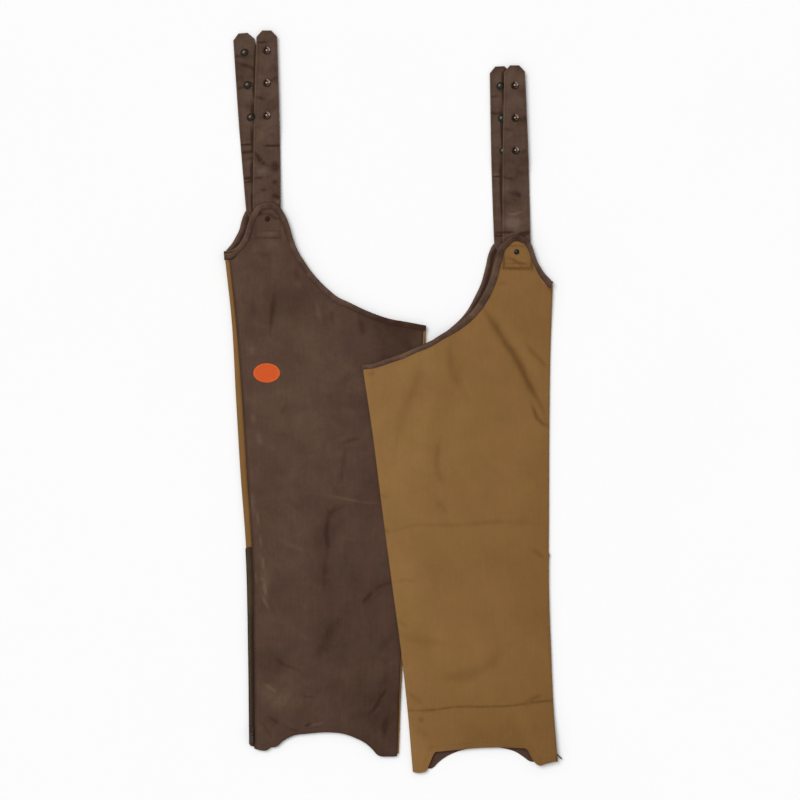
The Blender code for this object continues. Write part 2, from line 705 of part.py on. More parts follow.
def zip_slider(name, pivot, rotation, material):
    """The slider's plate with two lugs and the bar that carries the pull; its origin is the bar."""
    plate = box(name, (SLIDER_WIDTH, SLIDER_LENGTH, SLIDER_THICK),
                (0, SLIDER_LENGTH / 2 - 3.2, -BAR_HEIGHT - SLIDER_THICK / 2))
    bpy.ops.object.transform_apply(location=True, rotation=False, scale=False)
    bevel = plate.modifiers.new("round", "BEVEL")
    bevel.width = 0.5 * MM
    bevel.segments = 1
    lug_x = PULL_WIDTH / 2 - 0.6
    for side in (-1, 1):
        lug_size = (1.2, 3.0, BAR_HEIGHT + 1.6)
        lug = helper(box(name + "_lug", lug_size, (side * lug_x, 0, 0.2 - BAR_HEIGHT / 2)))
        combine(plate, lug, "UNION")
    bar = helper(cylinder(name + "_bar", BAR_RADIUS, 2 * lug_x, (0, 0, 0), 10, "X"))
    combine(plate, bar, "UNION")
    plate.data.materials.append(material)
    keep_in_parts(plate)
    helpers_follow(plate, pivot, rotation)
    return plate


def zip_pull(name, pivot, rotation, material):
    """The pull tab: an eye round the slider's bar and a flat blade; its origin is the bar."""
    eye_width = PULL_WIDTH - 1.2 - 1.2 - 2 * 0.35
    pull = cylinder(name, EYE_RADIUS, eye_width, (0, 0, 0), 12, "X")
    bpy.ops.object.transform_apply(location=True, rotation=True, scale=False)
    neck = helper(box(name + "_neck", (eye_width * 0.86, 3.0, PULL_THICK * 0.8), (0, -2.7, 0)))
    combine(pull, neck, "UNION")
    blade = helper(box(name + "_blade", (PULL_WIDTH, PULL_LENGTH - 3.8, PULL_THICK),
                       (0, -3.8 - (PULL_LENGTH - 3.8) / 2, 0)))
    bevel = blade.modifiers.new("round", "BEVEL")
    bevel.width = 0.8 * MM
    bevel.segments = 1
    combine(pull, blade, "UNION")
    hole = helper(cylinder(name + "_hole", BAR_HOLE, PULL_WIDTH, (0, 0, 0), 12, "X"))
    combine(pull, hole, "DIFFERENCE")
    pull.data.materials.append(material)
    keep_in_parts(pull)
    helpers_follow(pull, pivot, rotation)
    return pull


def keep_in_parts(piece):
    for collection in list(piece.users_collection):
        collection.objects.unlink(piece)
    PARTS.objects.link(piece)


def helpers_follow(piece, pivot, rotation):
    """Cutters and joined shapes are parented to their piece, so they move with it."""
    bpy.context.view_layer.update()
    for step in piece.modifiers:
        if step.type == "BOOLEAN":
            step.object.parent = piece
    place(piece, pivot, rotation)


def patch(leg, centre, name, material):
    """A plain oval of embroidered cloth on the front panel, made from the panel's own points."""
    rings, spokes = (0.0, 0.55, 1.0), 16
    lift = CLOTH / 2 + SEAM_GAP + TAPE / 2
    points = []
    for i in range(spokes + 1):
        angle = 2 * math.pi * i / spokes
        row = []
        for ring in rings:
            x = centre[0] + ring * PATCH_SIZE[0] / 2 * math.cos(angle)
            y = centre[1] + ring * PATCH_SIZE[1] / 2 * math.sin(angle)
            row.append((x, y, float(leg.upper(np.array(x), np.array(y))) + lift))
        points.append(row)
    piece = cloth_wall(name, points, TAPE, material)
    mesh = piece.data
    merged = bmesh.new()
    merged.from_mesh(mesh)
    bmesh.ops.remove_doubles(merged, verts=merged.verts, dist=0.00001)
    bmesh.ops.recalc_face_normals(merged, faces=merged.faces)
    merged.to_mesh(mesh)
    merged.free()
    return piece


def material(name, colour, roughness, metallic=0.0):
    made = bpy.data.materials.new(name)
    made.use_nodes = True
    shader = made.node_tree.nodes["Principled BSDF"]
    shader.inputs["Base Color"].default_value = (*colour, 1.0)
    shader.inputs["Roughness"].default_value = roughness
    shader.inputs["Metallic"].default_value = metallic
    return made


def even(count):
    return [i / (count - 1) for i in range(count)]


def build_leg(leg, straps, rivets, wraps, zip_top):
    front_layer = "lower" if leg.turned else "upper"
    back_layer = "upper" if leg.turned else "lower"
    front_size = (HIDDEN_COLUMNS, HIDDEN_ROWS_B) if leg.turned else (PANEL_COLUMNS, PANEL_ROWS)
    back_size = (PANEL_COLUMNS, PANEL_ROWS) if leg.turned else (HIDDEN_COLUMNS, HIDDEN_ROWS_A)
    panels = {
        front_layer: front_panel(leg, front_layer, front_size[0], even(front_size[1]),
                                 BROWN, leg.name + "_front_panel"),
        back_layer: wrapping_panel(leg, back_layer, back_size[0], even(back_size[1]),
                                   zip_top, wraps, TAN, leg.name + "_back_panel"),
    }
    sides = {front_layer: "front", back_layer: "back"}
    for layer, side in sides.items():
        strap = straps[layer]
        piece = strap.build(f"{leg.name}_{side}_strap", STRAP_BROWN)
        for number, from_tip in enumerate(SNAP_FROM_TIP, 1):
            at = STRAP_LENGTH - from_tip
            x, y, _ = strap.point(at, 0)
            punch(piece, x, y, SNAP_HOLE)
            snap = upper_snap if layer == "upper" else lower_snap
            snap(strap, at, f"{leg.name}_{side}_snap_{number}")
        x, y = rivets[layer]
        punch(piece, x, y, RIVET_HOLE)
        panel, edge = panels[layer]
        punch(panel, x, y, RIVET_HOLE)
        rivet(leg, layer, x, y, GUNMETAL, f"{leg.name}_{side}_rivet")
        mouth = strap.base + strap.along * STRAP_HIDDEN
        beside = leg.inward * (STRAP_BASE_WIDTH / 2 + 4.5)
        binding(leg, layer, edge, edge[0, 0], mouth[0] - beside, BINDING_BROWN,
                f"{leg.name}_{side}_binding_outer")
        binding(leg, layer, edge, mouth[0] + beside, edge[-1, 0], BINDING_BROWN,
                f"{leg.name}_{side}_binding_inner")


for old in list(bpy.data.objects):
    bpy.data.objects.remove(old, do_unlink=True)
PARTS = bpy.data.collections.new("chaps")
CUTTERS = bpy.data.collections.new("cutters")
for made in (PARTS, CUTTERS):
    bpy.context.scene.collection.children.link(made)

BROWN = material("brown_canvas", (0.080, 0.048, 0.030), 0.62)
TAN = material("tan_canvas", (0.230, 0.130, 0.048), 0.72)
STRAP_BROWN = material("strap_canvas", (0.100, 0.066, 0.047), 0.66)
BINDING_BROWN = material("binding_tape", (0.090, 0.058, 0.042), 0.66)
GUNMETAL = material("gunmetal", (0.040, 0.042, 0.038), 0.30, 1.0)
ZIP_BROWN = material("zip_tape", (0.045, 0.026, 0.012), 0.70)
ORANGE = material("orange_thread", (0.900, 0.200, 0.020), 0.55)

leg_a = Leg("leg_a", LEG_A_SIDES,
            {"upper": LEG_A_UPPER_TOP, "lower": LEG_A_LOWER_TOP},
            {"upper": LEG_A_UPPER_HEM, "lower": LEG_A_LOWER_HEM}, LEG_A_FOLDS, turned=False)
leg_a.strap_zone = (-226.0, 318.0)
leg_b = Leg("leg_b", LEG_B_SIDES,
            {"upper": LEG_B_UPPER_TOP, "lower": LEG_B_LOWER_TOP},
            {"upper": LEG_B_UPPER_HEM, "lower": LEG_B_LOWER_HEM}, LEG_B_FOLDS, turned=True, under=leg_a)
leg_b.strap_zone = (213.0, 260.0)

straps_a = {
    "upper": Strap(leg_a, "upper", (-223.4, 294.8), (-223.4, 655.8), UPPER_STRAP_LIE_A),
    "lower": Strap(leg_a, "lower", (-231.0, 292.1), (-265.7, 651.4), LOWER_STRAP_LIE),
}
straps_b = {
    "upper": Strap(leg_b, "upper", (219.3, 232.9), (215.1, 593.9), UPPER_STRAP_LIE_B),
    "lower": Strap(leg_b, "lower", (205.9, 232.1), (189.2, 592.7), LOWER_STRAP_LIE),
}

zip_top_a = leg_a.hems["lower"][0, 1] + ZIP_LENGTH
zip_top_b = leg_b.hems["upper"][0, 1] + ZIP_LENGTH + 15
pivot_a = (-250.5, -588.0)
pivot_b = (285.5, -622.0)
leg_b.bulge = (pivot_b[0] - 6, pivot_b[1] + 4, 5.0, 46.0)

build_leg(leg_a, straps_a, {"upper": (-222.1, 322.1), "lower": (-233.5, 320.0)},
          {"outer": 251.3, "inner": 119.5}, zip_top_a)
build_leg(leg_b, straps_b, {"upper": (218.6, 263.7), "lower": (204.6, 260.0)},
          {"outer": 195.6, "inner": 52.5}, zip_top_b)
patch(leg_a, (-223.5, 49.6), "leg_a_patch", ORANGE)

zip_tape_a(leg_a, zip_top_a, "leg_a_zip_tape", ZIP_BROWN)
tape_top = float(leg_a.upper(np.array(pivot_a[0]), np.array(pivot_a[1]))) + CLOTH / 2
slider_seat = SLIDER_THICK + BAR_HEIGHT + SLIDER_GAP
bar_a = (pivot_a[0], pivot_a[1], tape_top + slider_seat)
droop = math.asin((BAR_HEIGHT + SLIDER_THICK - 0.9) / PULL_LENGTH) * 0.8
zip_slider("leg_a_zip_slider", bar_a, (0, 0, 0), GUNMETAL)
zip_pull("leg_a_zip_pull", bar_a, (droop, 0, 0), GUNMETAL)


def inset_b(y):
    near = np.abs(y - pivot_b[1]) / 40
    return 3.0 + 4.6 / (1 + near ** 4)


zip_tape_b(leg_b, zip_top_b, inset_b, "leg_b_zip_tape", ZIP_BROWN)
tape_x = float(leg_b.line("outer", np.array(pivot_b[1]))) - float(inset_b(np.array(pivot_b[1])))
bar_b = (tape_x + slider_seat, pivot_b[1], SLIDER_WIDTH / 2 + 0.5)
stand = math.radians(90)
zip_slider("leg_b_zip_slider", bar_b, (0, stand, 0), GUNMETAL)
zip_pull("leg_b_zip_pull", bar_b, (math.radians(-45), stand, 0), GUNMETAL)

rig = bpy.data.objects.new("chaps_rig", None)
PARTS.objects.link(rig)
bpy.context.view_layer.update()
graph = bpy.context.evaluated_depsgraph_get()
pieces = [piece for piece in PARTS.objects if piece.type == "MESH"]
corners = []
for piece in pieces:
    shown = piece.evaluated_get(graph)
    corners.extend(shown.matrix_world @ vertex.co for vertex in shown.data.vertices)
low = [min(corner[axis] for corner in corners) for axis in range(3)]
high = [max(corner[axis] for corner in corners) for axis in range(3)]
for piece in list(PARTS.objects) + list(CUTTERS.objects):
    if piece.parent is None and piece is not rig:
        piece.parent = rig
rig.location = (-(low[0] + high[0]) / 2, -(low[1] + high[1]) / 2, -low[2])
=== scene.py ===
import math
import bpy
import numpy as np
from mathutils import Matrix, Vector


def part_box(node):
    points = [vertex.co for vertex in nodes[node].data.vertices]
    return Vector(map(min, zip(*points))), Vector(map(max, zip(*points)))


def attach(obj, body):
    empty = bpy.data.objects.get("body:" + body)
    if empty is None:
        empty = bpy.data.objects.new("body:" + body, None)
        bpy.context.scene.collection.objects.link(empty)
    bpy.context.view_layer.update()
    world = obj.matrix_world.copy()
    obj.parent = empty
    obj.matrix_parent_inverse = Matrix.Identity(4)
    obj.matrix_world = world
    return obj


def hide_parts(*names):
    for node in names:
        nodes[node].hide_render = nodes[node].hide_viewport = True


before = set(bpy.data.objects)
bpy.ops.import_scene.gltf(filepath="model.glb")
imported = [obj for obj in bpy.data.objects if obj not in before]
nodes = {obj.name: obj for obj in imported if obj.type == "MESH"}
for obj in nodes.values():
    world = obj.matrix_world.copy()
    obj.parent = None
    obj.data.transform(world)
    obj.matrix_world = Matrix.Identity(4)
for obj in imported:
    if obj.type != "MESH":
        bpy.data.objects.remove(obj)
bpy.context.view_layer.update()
mm = 0.001
print("frame loaded,", len(nodes), "nodes")

# lengths below are in millimetres on the laid-out pair; one known snap ties them to the frame
knownSnap = (-223.4, 620.4)
low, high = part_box("leg_a_front_snap_1")
layShift = np.array([(low[i] + high[i]) / 2 / mm - knownSnap[i] for i in (0, 1)] + [0.0])

cloth = {
    "wall": 1.2,            # canvas as it shows
    "cadWall": 1.5,         # canvas in the frame's solids
    "strapWall": 1.8,
    "strapGap": 0.45,
    "bindLift": 1.12,       # middle of the tape from the middle of the panel
    "bindFold": 1.9,
    "bindWall": 0.8,
    "bindRise": 1.5,
    "edgeInset": 2.4,
    "layerApart": 4.2,
    "boundApart": 5.0,
    "strapApart": 2.5,
    "loft": 0.8,
    "overLeg": 0.5,
    "panelGap": 0.6,
    "zipLength": 352.0,
    "pucker": 0.2,          # small waves beside the seams
    "waves": [(46, 0.30), (19, 0.16), (7, 0.06)],      # the cloth's own unevenness: length, height
    "clear": 0.05,          # the least height over the table
}

# strapZone is where the straps lift the cloth; sewnBox the middle, half sizes and rise of the box sewn there;
# bulge the middle, rise and reach of the cloth over a slider; innerWrap how far the back wraps round, by y
legA = {
    "name": "legA", "seed": 11, "shading": 1.0, "strapZone": (-226, 318),
    "sewnBox": (-221, 309.5, 21.5, 20.5, 0.7), "innerWrap": ((-620, 2.3), (60, 4.4)),
    "sides": [  # y, outer fold, seam, inner fold
        (-618, -253.8, -244.6, 10.6), (-441, -255.8, -245.9, 17.9), (-260, -260.5, -249.4, 31.5),
        (-131, -270.1, -258.1, 41.2), (3, -278.2, -266.7, 51.3), (143, -286.0, -277.9, 59.5),
        (253, -297.7, -289.7, 65.5)],
    "upperTop": [
        (-298.1, 265.1), (-286.7, 266.7), (-279.4, 270.8), (-271.6, 278.8), (-263.9, 292.1),
        (-259.2, 306.2), (-254.3, 321.3), (-249.6, 334.0), (-244.6, 343.0), (-232.0, 350.5),
        (-221.0, 352.3), (-210.6, 350.8), (-200.0, 343.0), (-189.5, 326.5), (-182.3, 307.3),
        (-177.2, 289.0), (-168.3, 266.2), (-156.6, 247.1), (-143.4, 228.2), (-128.7, 211.2),
        (-111.5, 195.1), (-97.9, 184.3), (-78.9, 175.4), (-49.2, 161.2), (-3.2, 145.0), (23.9, 140.2),
        (59.5, 133.5)],
    "lowerTop": [
        (-299.5, 262.0), (-293.8, 269.0), (-285.0, 279.7), (-277.9, 292.1), (-272.6, 302.7),
        (-269.0, 316.8), (-265.5, 327.4), (-260.2, 337.5), (-249.6, 341.3), (-228.3, 342.0),
        (-217.7, 340.5), (-210.6, 337.2), (-201.8, 322.1), (-194.7, 302.7), (-187.6, 281.4),
        (-178.8, 260.2), (-166.4, 240.7), (-150.4, 220.4), (-132.8, 201.8), (-109.7, 182.3), (-85.0, 169.9),
        (-58.4, 160.2), (-28.3, 150.4), (3.5, 141.6), (33.6, 135.4), (58.9, 131.9)],
    "upperHem": [
        (-253.8, -611.2), (-241.3, -616.7), (-222.0, -617.7), (-217.7, -614.0), (-207.1, -612.2),
        (-194.2, -601.6), (-177.0, -592.6), (-149.0, -588.7), (-119.1, -586.6), (-86.9, -589.4),
        (-67.6, -596.1), (-50.4, -604.8), (-37.5, -615.6), (-26.9, -626.9), (-5.3, -629.4), (6.4, -628.4),
        (10.6, -625.5)],
    "lowerHem": [
        (-253.8, -610.6), (-231.9, -614.2), (-224.8, -610.6), (-212.4, -588.5), (-164.6, -582.3),
        (-111.5, -580.6), (-65.5, -584.1), (-47.8, -593.0), (-30.1, -619.5), (-8.8, -624.8), (10.6, -623.9)],
    # the tone paints shade into the creases and highlights onto the ridges, along with patches of the cloth's
    # own colour
    "folds": [  # half width, depth, tone, then the line: a negative depth is a ridge, a negative tone darker
        (17, 1.1, -0.1, (-210, 180), (-217, 120)), (16, 1.1, -0.2, (-87, -69), (-85, -96)),
        (16, 1.2, -0.2, (-85, -96), (-92, -152)), (17, 1.2, -0.2, (-94, -191), (-115, -205)),
        (17, 1.8, -0.4, (-115, -205), (-119, -281)), (17, 1.4, -0.3, (-119, -281), (-124, -340)),
        (16, 1.2, -0.2, (-2, -322), (-58, -363)), (26, 1.2, -0.2, (-94, -388), (-129, -458)),
        (15, 0.9, -0.2, (-207, -457), (-173, -474)), (14, 0.7, 0, (-16, -517), (-37, -549)),
        (14, 0.9, -0.2, (-232, -560), (-200, -580)), (28, -0.7, 0.1, (-158, -215), (-160, -330)),
        (28, -0.7, 0.1, (-70, -215), (-72, -330)), (4.5, 0.7, -0.75, (-210, 190), (-213, 160), (-218, 118)),
        (6, 0.5, -0.4, (-250, 179), (-248, 165), (-244, 147)),
        (5, 0.5, -0.4, (-172, 235), (-170, 221), (-172, 207)),
        (6, 0.5, -0.7, (-57, 147), (-55, 129), (-51, 112)),
        (4, 0.4, -0.4, (-87, -69), (-85, -81), (-85, -96), (-88, -115), (-92, -140), (-88, -152)),
        (4.5, 0.55, -0.4, (-88, -189), (-101, -193), (-112, -198), (-115, -211), (-117, -225), (-119, -237),
        (-115, -260), (-119, -290), (-122, -317), (-124, -340)),
        (4, 0.4, -0.35, (8, -318), (-12, -324), (-28, -331), (-37, -338)),
        (3, 0.5, -0.6, (-34, -337), (-48, -350), (-57, -363)),
        (2.1, -0.35, 0.6, (-126, -165), (-112, -168), (-85, -173), (-55, -179), (-18, -182)),
        (3, -0.25, 0.35, (-205, -248), (-191, -250), (-182, -255), (-165, -262), (-147, -267)),
        (9, 0.45, -0.3, (-84, -376), (-108, -405), (-120, -427), (-129, -444), (-138, -468)),
        (2.2, 0.3, -0.6, (-210, -454), (-198, -464), (-188, -469), (-162, -478)),
        (2.2, 0.6, -1.3, (-12, -508), (-15, -515), (-23, -527), (-28, -538), (-41, -553)),
        (5, 0.4, -0.5, (-8, -552), (-13, -572), (-17, -600)),
        (4.5, 0.4, -0.5, (-236, -562), (-225, -579), (-213, -597)),
        (3.5, 0.4, -0.5, (-222, -560), (-211, -565), (-200, -572)),
        (3, 0.4, -0.5, (-196, -572), (-184, -580), (-166, -584)),
        (2.2, 0.5, -0.8, (-158, -576), (-144, -571)),
        (2, -0.3, 0.5, (-149, -575), (-133, -572), (-119, -568)),
        (6, 0.35, -0.25, (-2, -414), (-12, -427), (-23, -441), (-28, -451)),
        (22, -0.3, 0.4, (-209, -520), (-186, -538)), (4, 0.4, -0.4, (-186, -4), (-193, -14), (-198, -28)),
        (5, 0.3, 0.5, (-251, 99), (-248, 81)), (5, 0.2, 0.5, (-250, -21), (-246, -42)),
        (5, 0.2, 0.5, (-242, -51), (-232, -81)), (6, 0.2, 0.4, (-250, -184), (-248, -202)),
        (7, -0.3, 0.45, (-232, -273), (-225, -317), (-230, -361)),
        (2.5, 0.5, -0.9, (-225, 329), (-216, 328), (-209, 323), (-198, 322)),
        (4, 0.4, -1.1, (-243, 330), (-230, 334)), (2, -0.2, 0.5, (-198, 317), (-197, 292)),
        (3, -0.2, 0.35, (-204, 290), (-191, 289), (-184, 285)), (2, -0.2, 0.45, (-234, 296), (-204, 296)),
        (8, 0, 0.3, (-230, 276), (-200, 278)), (6, 0, 0.35, (-253, 269), (-232, 271)),
        (3, 0.2, -0.35, (-239, 262), (-225, 258), (-214, 260)),
        (6, 0, -0.7, (-253, 314), (-255, 297), (-262, 276)),
        (7, 0.35, -0.35, (-80, -184), (-100, -192), (-114, -205), (-118, -225)),
        (1.9, -0.2, 1.0, (-241, -196), (-237, -222)), (1.7, -0.15, 0.8, (-236, -236), (-232, -262)),
        (2.1, -0.2, 0.9, (-231, -276), (-229, -300)), (1.6, -0.15, 0.9, (-237, -312), (-226, -318)),
        (1.9, -0.2, 1.0, (-229, -318), (-224, -346)), (1.7, -0.2, 1.0, (-233, -344), (-218, -370)),
        (1.5, -0.1, 0.7, (-244, -300), (-240, -326)), (4, 0, 0.8, (-250, -160), (-249, -190)),
        (50, 0, -0.7, (-40, 140), (60, 110)), (120, 0, 0.3, (-260, -60), (-30, -60)),
        (45, 0, -0.25, (-200, 210), (-185, 140)), (40, 0, -0.3, (-85, 20), (-85, -20)),
        (50, 0, -0.35, (-14, -460), (-14, -620)), (30, 0, -0.25, (-228, -430), (-228, -490)),
        (30, 0, 0.1, (-250, -150), (-232, -281), (-221, -360)), (16, 0, 0.4, (-232, -505), (-205, -525)),
        (4, 0.4, -0.5, (-110, 162), (-107, 137)), (4, -0.3, 0.45, (-136, 178), (-130, 150), (-128, 140)),
        (5, -0.3, 0.4, (-172, 214), (-165, 196)), (3, 0.4, -0.6, (-90, -77), (-78, -70), (-57, -66)),
        (2, -0.3, 0.9, (-230, -500), (-222, -504), (-203, -517)),
        (2, 0.3, -0.6, (-162, -523), (-138, -524)), (45, 0, 0.25, (-30, -190), (-22, -290)),
        (30, 0, 0.2, (-240, 20), (-232, -20))],
    "underFolds": [  # half width, height, then the line
        (15, 0.8, (-190, 150), (-160, 60), (-155, -20)), (18, 0.7, (-60, 60), (-85, -10)),
        (14, 0.9, (-200, -120), (-140, -150), (-60, -140)), (20, 0.6, (-110, -230), (-100, -330)),
        (13, 0.8, (-205, -400), (-165, -425)), (16, 0.7, (-60, -450), (-90, -540))],
}

legB = {
    "name": "legB", "seed": 31, "shading": 0.5, "strapZone": (213, 260),
    "sewnBox": (221, 254, 24.5, 19, 0.6), "bulge": (279.5, -618.0, 5.0, 46.0),
    "innerWrap": ((-650, 4.4), (60, 4.4)),
    "sides": [
        (-644, 291.9, 275.9, 33.8), (-550, 284.4, 268.4, 25.8), (-441, 279.5, 263.5, 13.8),
        (-334, 275.9, 261.4, -0.7), (-211, 276.3, 265.3, -17.0), (-46, 277.0, 267.0, -38.1),
        (65, 278.4, 268.4, -54.7), (205, 283.0, 273.0, -74.3)],
    "upperTop": [
        (282.8, 210.3), (276.1, 217.7), (269.0, 224.8), (262.0, 235.4), (256.0, 246.0), (250.0, 263.0),
        (245.0, 277.0), (239.0, 286.0), (230.0, 292.0), (219.5, 294.5), (209.0, 293.0), (200.5, 287.0),
        (189.8, 277.0), (181.0, 252.5), (169.2, 211.9), (147.0, 170.0), (130.1, 149.6), (114.5, 136.5),
        (83.2, 116.8), (59.1, 102.0), (44.2, 96.1), (17.2, 83.9), (-9.9, 74.3), (-38.4, 65.5), (-54.0, 64.1)],
    "lowerTop": [
        (279.7, 206.2), (265.5, 214.2), (254.9, 224.8), (246.0, 238.9), (239.8, 254.9), (233.6, 269.0),
        (228.3, 277.9), (219.5, 281.8), (203.6, 283.2), (187.6, 282.1), (179.1, 278.8), (169.7, 262.0),
        (163.9, 237.7), (154.0, 203.6), (148.1, 191.2), (127.4, 154.7), (100.9, 128.7), (78.1, 112.6),
        (59.1, 103.0), (17.2, 84.8), (-9.9, 75.2), (-38.4, 66.4), (-54.0, 65.1)],
    "upperHem": [
        (292.6, -636.3), (269.6, -642.0), (258.5, -644.8), (255.5, -643.5), (244.3, -629.5),
        (237.6, -617.0), (234.0, -614.6), (228.0, -614.3), (190.8, -613.3), (146.7, -614.5),
        (120.4, -616.8), (82.0, -620.6), (74.6, -621.6), (72.4, -624.6), (67.3, -635.6), (61.6, -649.5),
        (58.4, -655.6), (56.5, -656.4), (36.5, -655.8), (34.2, -653.0)],
    "lowerHem": [
        (292.1, -635.4), (269.0, -639.0), (250.3, -639.5), (243.6, -638.8), (231.2, -630.5),
        (217.7, -621.8), (196.6, -615.6), (159.3, -612.4), (123.7, -618.3), (104.4, -624.8), (89.2, -633.3),
        (77.7, -643.0), (69.9, -650.7), (62.3, -651.5), (34.5, -650.5)],
    "bandSeam": [
        (27.8, -548.0), (75.8, -546.4), (104.4, -542.2), (165.8, -541.3), (213.8, -539.0), (242.5, -534.2),
        (281.1, -530.6)],
    # as for leg A, the tone paints crease shade and ridge highlights along with the cloth's own patches
    "folds": [
        (15, 1.7, -0.2, (176, 140), (211, 87)), (15, 1.6, -0.2, (211, 87), (258, -12)),
        (18, 1.1, -0.15, (101, 84), (122, 19)), (24, 1.1, -0.15, (51, 60), (27, -7)),
        (24, 1.0, -0.15, (27, -7), (-2, -104)), (18, 1.0, -0.1, (83, -69), (80, -131)),
        (16, 0.9, -0.1, (78, -175), (101, -202)), (15, 0.8, -0.1, (-5, -232), (39, -222)),
        (15, 0.9, -0.1, (110, -219), (260, -216)), (16, 1.1, -0.1, (12, -418), (92, -432)),
        (16, 1.0, -0.1, (74, -494), (163, -480)), (16, 1.0, -0.1, (163, -480), (204, -432)),
        (30, -0.7, 0.1, (165, 60), (215, -20)), (22, -0.6, 0.1, (20, -460), (100, -470)),
        (6, 1.5, -1.6, (150, 185), (168, 152), (184, 129), (198, 104), (211, 87), (225, 62), (242, 28),
        (255, 5), (266, -16), (274, -41)), (8, -0.6, 0.3, (189, 147), (211, 117), (234, 81), (269, 19)),
        (4, 0.6, -0.9, (234, 104), (244, 90), (258, 76), (275, 55)),
        (3.5, 0.9, -1.5, (244, 0), (248, -12), (255, -30), (266, -41), (280, -48)),
        (7, 0.8, -0.5, (99, 112), (103, 81), (104, 58), (113, 37), (124, 16), (135, 2)),
        (10, 1, -0.45, (50, 87), (48, 55), (42, 23), (27, -7), (16, -37), (7, -78), (-2, -108)),
        (3, 0.4, -0.5, (-28, 51), (-41, 41)), (2.4, 0.4, -0.9, (-45, 43), (-33, 54)),
        (2.4, 0, -2.6, (289, -629), (293, -638)),
        (6, 0.9, -0.6, (83, -65), (80, -87), (78, -108), (81, -129), (94, -154)),
        (5, 0.4, -0.4, (76, -175), (88, -189), (103, -204)),
        (4, 0.5, -0.5, (-18, -235), (4, -228), (25, -223), (48, -219), (110, -221), (189, -214),
        (269, -218)), (3, 0.4, -0.6, (-25, -165), (-14, -170), (-2, -170)),
        (3, 0.5, -0.7, (-21, -221), (-12, -230), (-4, -235)),
        (3, 0.5, -0.5, (0, -322), (21, -317), (48, -319)),
        (4, 0.5, -0.6, (5, -386), (18, -395), (28, -402)),
        (8, 0.5, -0.3, (12, -418), (48, -425), (96, -432)),
        (10, 0.8, -0.4, (74, -496), (110, -490), (136, -487), (163, -476), (184, -458), (204, -434)),
        (5, 0.7, -0.7, (25, -513), (39, -526), (57, -538)),
        (4, 0.5, -0.7, (241, -260), (255, -269), (271, -281)), (4, 0.9, -1, (48, -559), (53, -570)),
        (8, 0.5, -0.5, (39, -579), (65, -593)), (3, 0.5, -0.8, (234, -531), (248, -527), (266, -520)),
        (4, 0.5, -0.5, (64, -607), (71, -621)),
        (2.5, 0.5, -1.4, (196, 257), (205, 253), (216, 248), (227, 243), (248, 241)),
        (3, 0.3, -0.8, (180, 209), (203, 208)), (1.8, 0.15, -2.8, (188, 235), (256, 235)),
        (1.6, 0.1, -2.0, (197, 230), (197, 262)), (1.4, 0.1, -1.2, (196, 243.4), (248, 243.4)),
        (1.6, 0.1, -1.4, (244.4, 230), (244.4, 256)), (2.5, -0.4, 1.4, (258, 220), (270, 209), (283, 199)),
        (4, 0.3, -1.0, (276, 206), (281, 190)), (40, 0, -0.35, (10, -590), (290, -590)),
        (40, 0, 0.3, (0, 100), (60, 60), (120, 90))],
    "underFolds": [
        (16, 0.8, (190, 150), (205, 60), (240, -20)), (18, 0.6, (110, 60), (90, -20)),
        (14, 0.8, (225, -130), (190, -190), (130, -210)), (20, 0.7, (170, -300), (160, -390)),
        (13, 0.7, (90, -430), (130, -470)), (15, 0.8, (225, -480), (190, -560))],
}


def through(at, knots, values):
    at = np.asarray(at, dtype=float)
    slopes = np.gradient(values, knots)
    cell = np.clip(np.searchsorted(knots, at) - 1, 0, len(knots) - 2)
    width = knots[cell + 1] - knots[cell]
    s = (np.clip(at, knots[0], knots[-1]) - knots[cell]) / width
    start, end = values[cell], values[cell + 1]
    curve = start * (1 + 2 * s) * (1 - s) ** 2 + end * s * s * (3 - 2 * s)
    curve += width * s * (1 - s) * (slopes[cell] * (1 - s) - slopes[cell + 1] * s)
    return curve + np.minimum(at - knots[0], 0) * slopes[0] + np.maximum(at - knots[-1], 0) * slopes[-1]


def runOf(line):
    return np.concatenate(([0], np.cumsum(np.hypot(*np.diff(line, axis=0).T))))


def evenly(line, step, start=0.0, end=0.0):
    at = runOf(line)
    spots = np.linspace(start, at[-1] - end, max(int((at[-1] - start - end) / step) + 1, 2))
    return np.stack([np.interp(spots, at, line[:, 0]), np.interp(spots, at, line[:, 1])], axis=1)


def smoothLine(corners, step=2.0):
    line = np.array(corners, float)
    chord = runOf(line)
    at = np.linspace(0, chord[-1], int(chord[-1] / step) + 1)
    return np.stack([through(at, chord, line[:, 0]), through(at, chord, line[:, 1])], axis=1)


def normalsOf(line, inward):
    along = np.diff(line, axis=0)
    along /= np.hypot(along[:, :1], along[:, 1:])
    before, after = np.concatenate((along[:1], along)), np.concatenate((along, along[-1:]))
    mitre = before + after
    mitre /= np.sum(mitre * before, axis=1, keepdims=True)
    return np.stack([mitre[:, 1], -mitre[:, 0]], axis=1) * inward


def ease(value):
    value = np.clip(value, 0, 1)
    return value * value * (3 - 2 * value)


def plateau(distance, flat, fade):
    return 1 - ease((distance - flat) / fade)


def ridge(distance, width):
    return np.exp(-(distance / width) ** 2)


def table(rows):
    return np.array(rows, float).T


def farFromLine(x, y, line):
    x, y = np.asarray(x, float), np.asarray(y, float)
    flatX, flatY = x.reshape(-1), y.reshape(-1)
    nearest = np.empty(flatX.shape)
    for start in range(0, len(flatX), 4000):
        part = slice(start, start + 4000)
        nearest[part] = np.hypot(flatX[part, None] - line[:, 0], flatY[part, None] - line[:, 1]).min(axis=1)
    return nearest.reshape(x.shape)


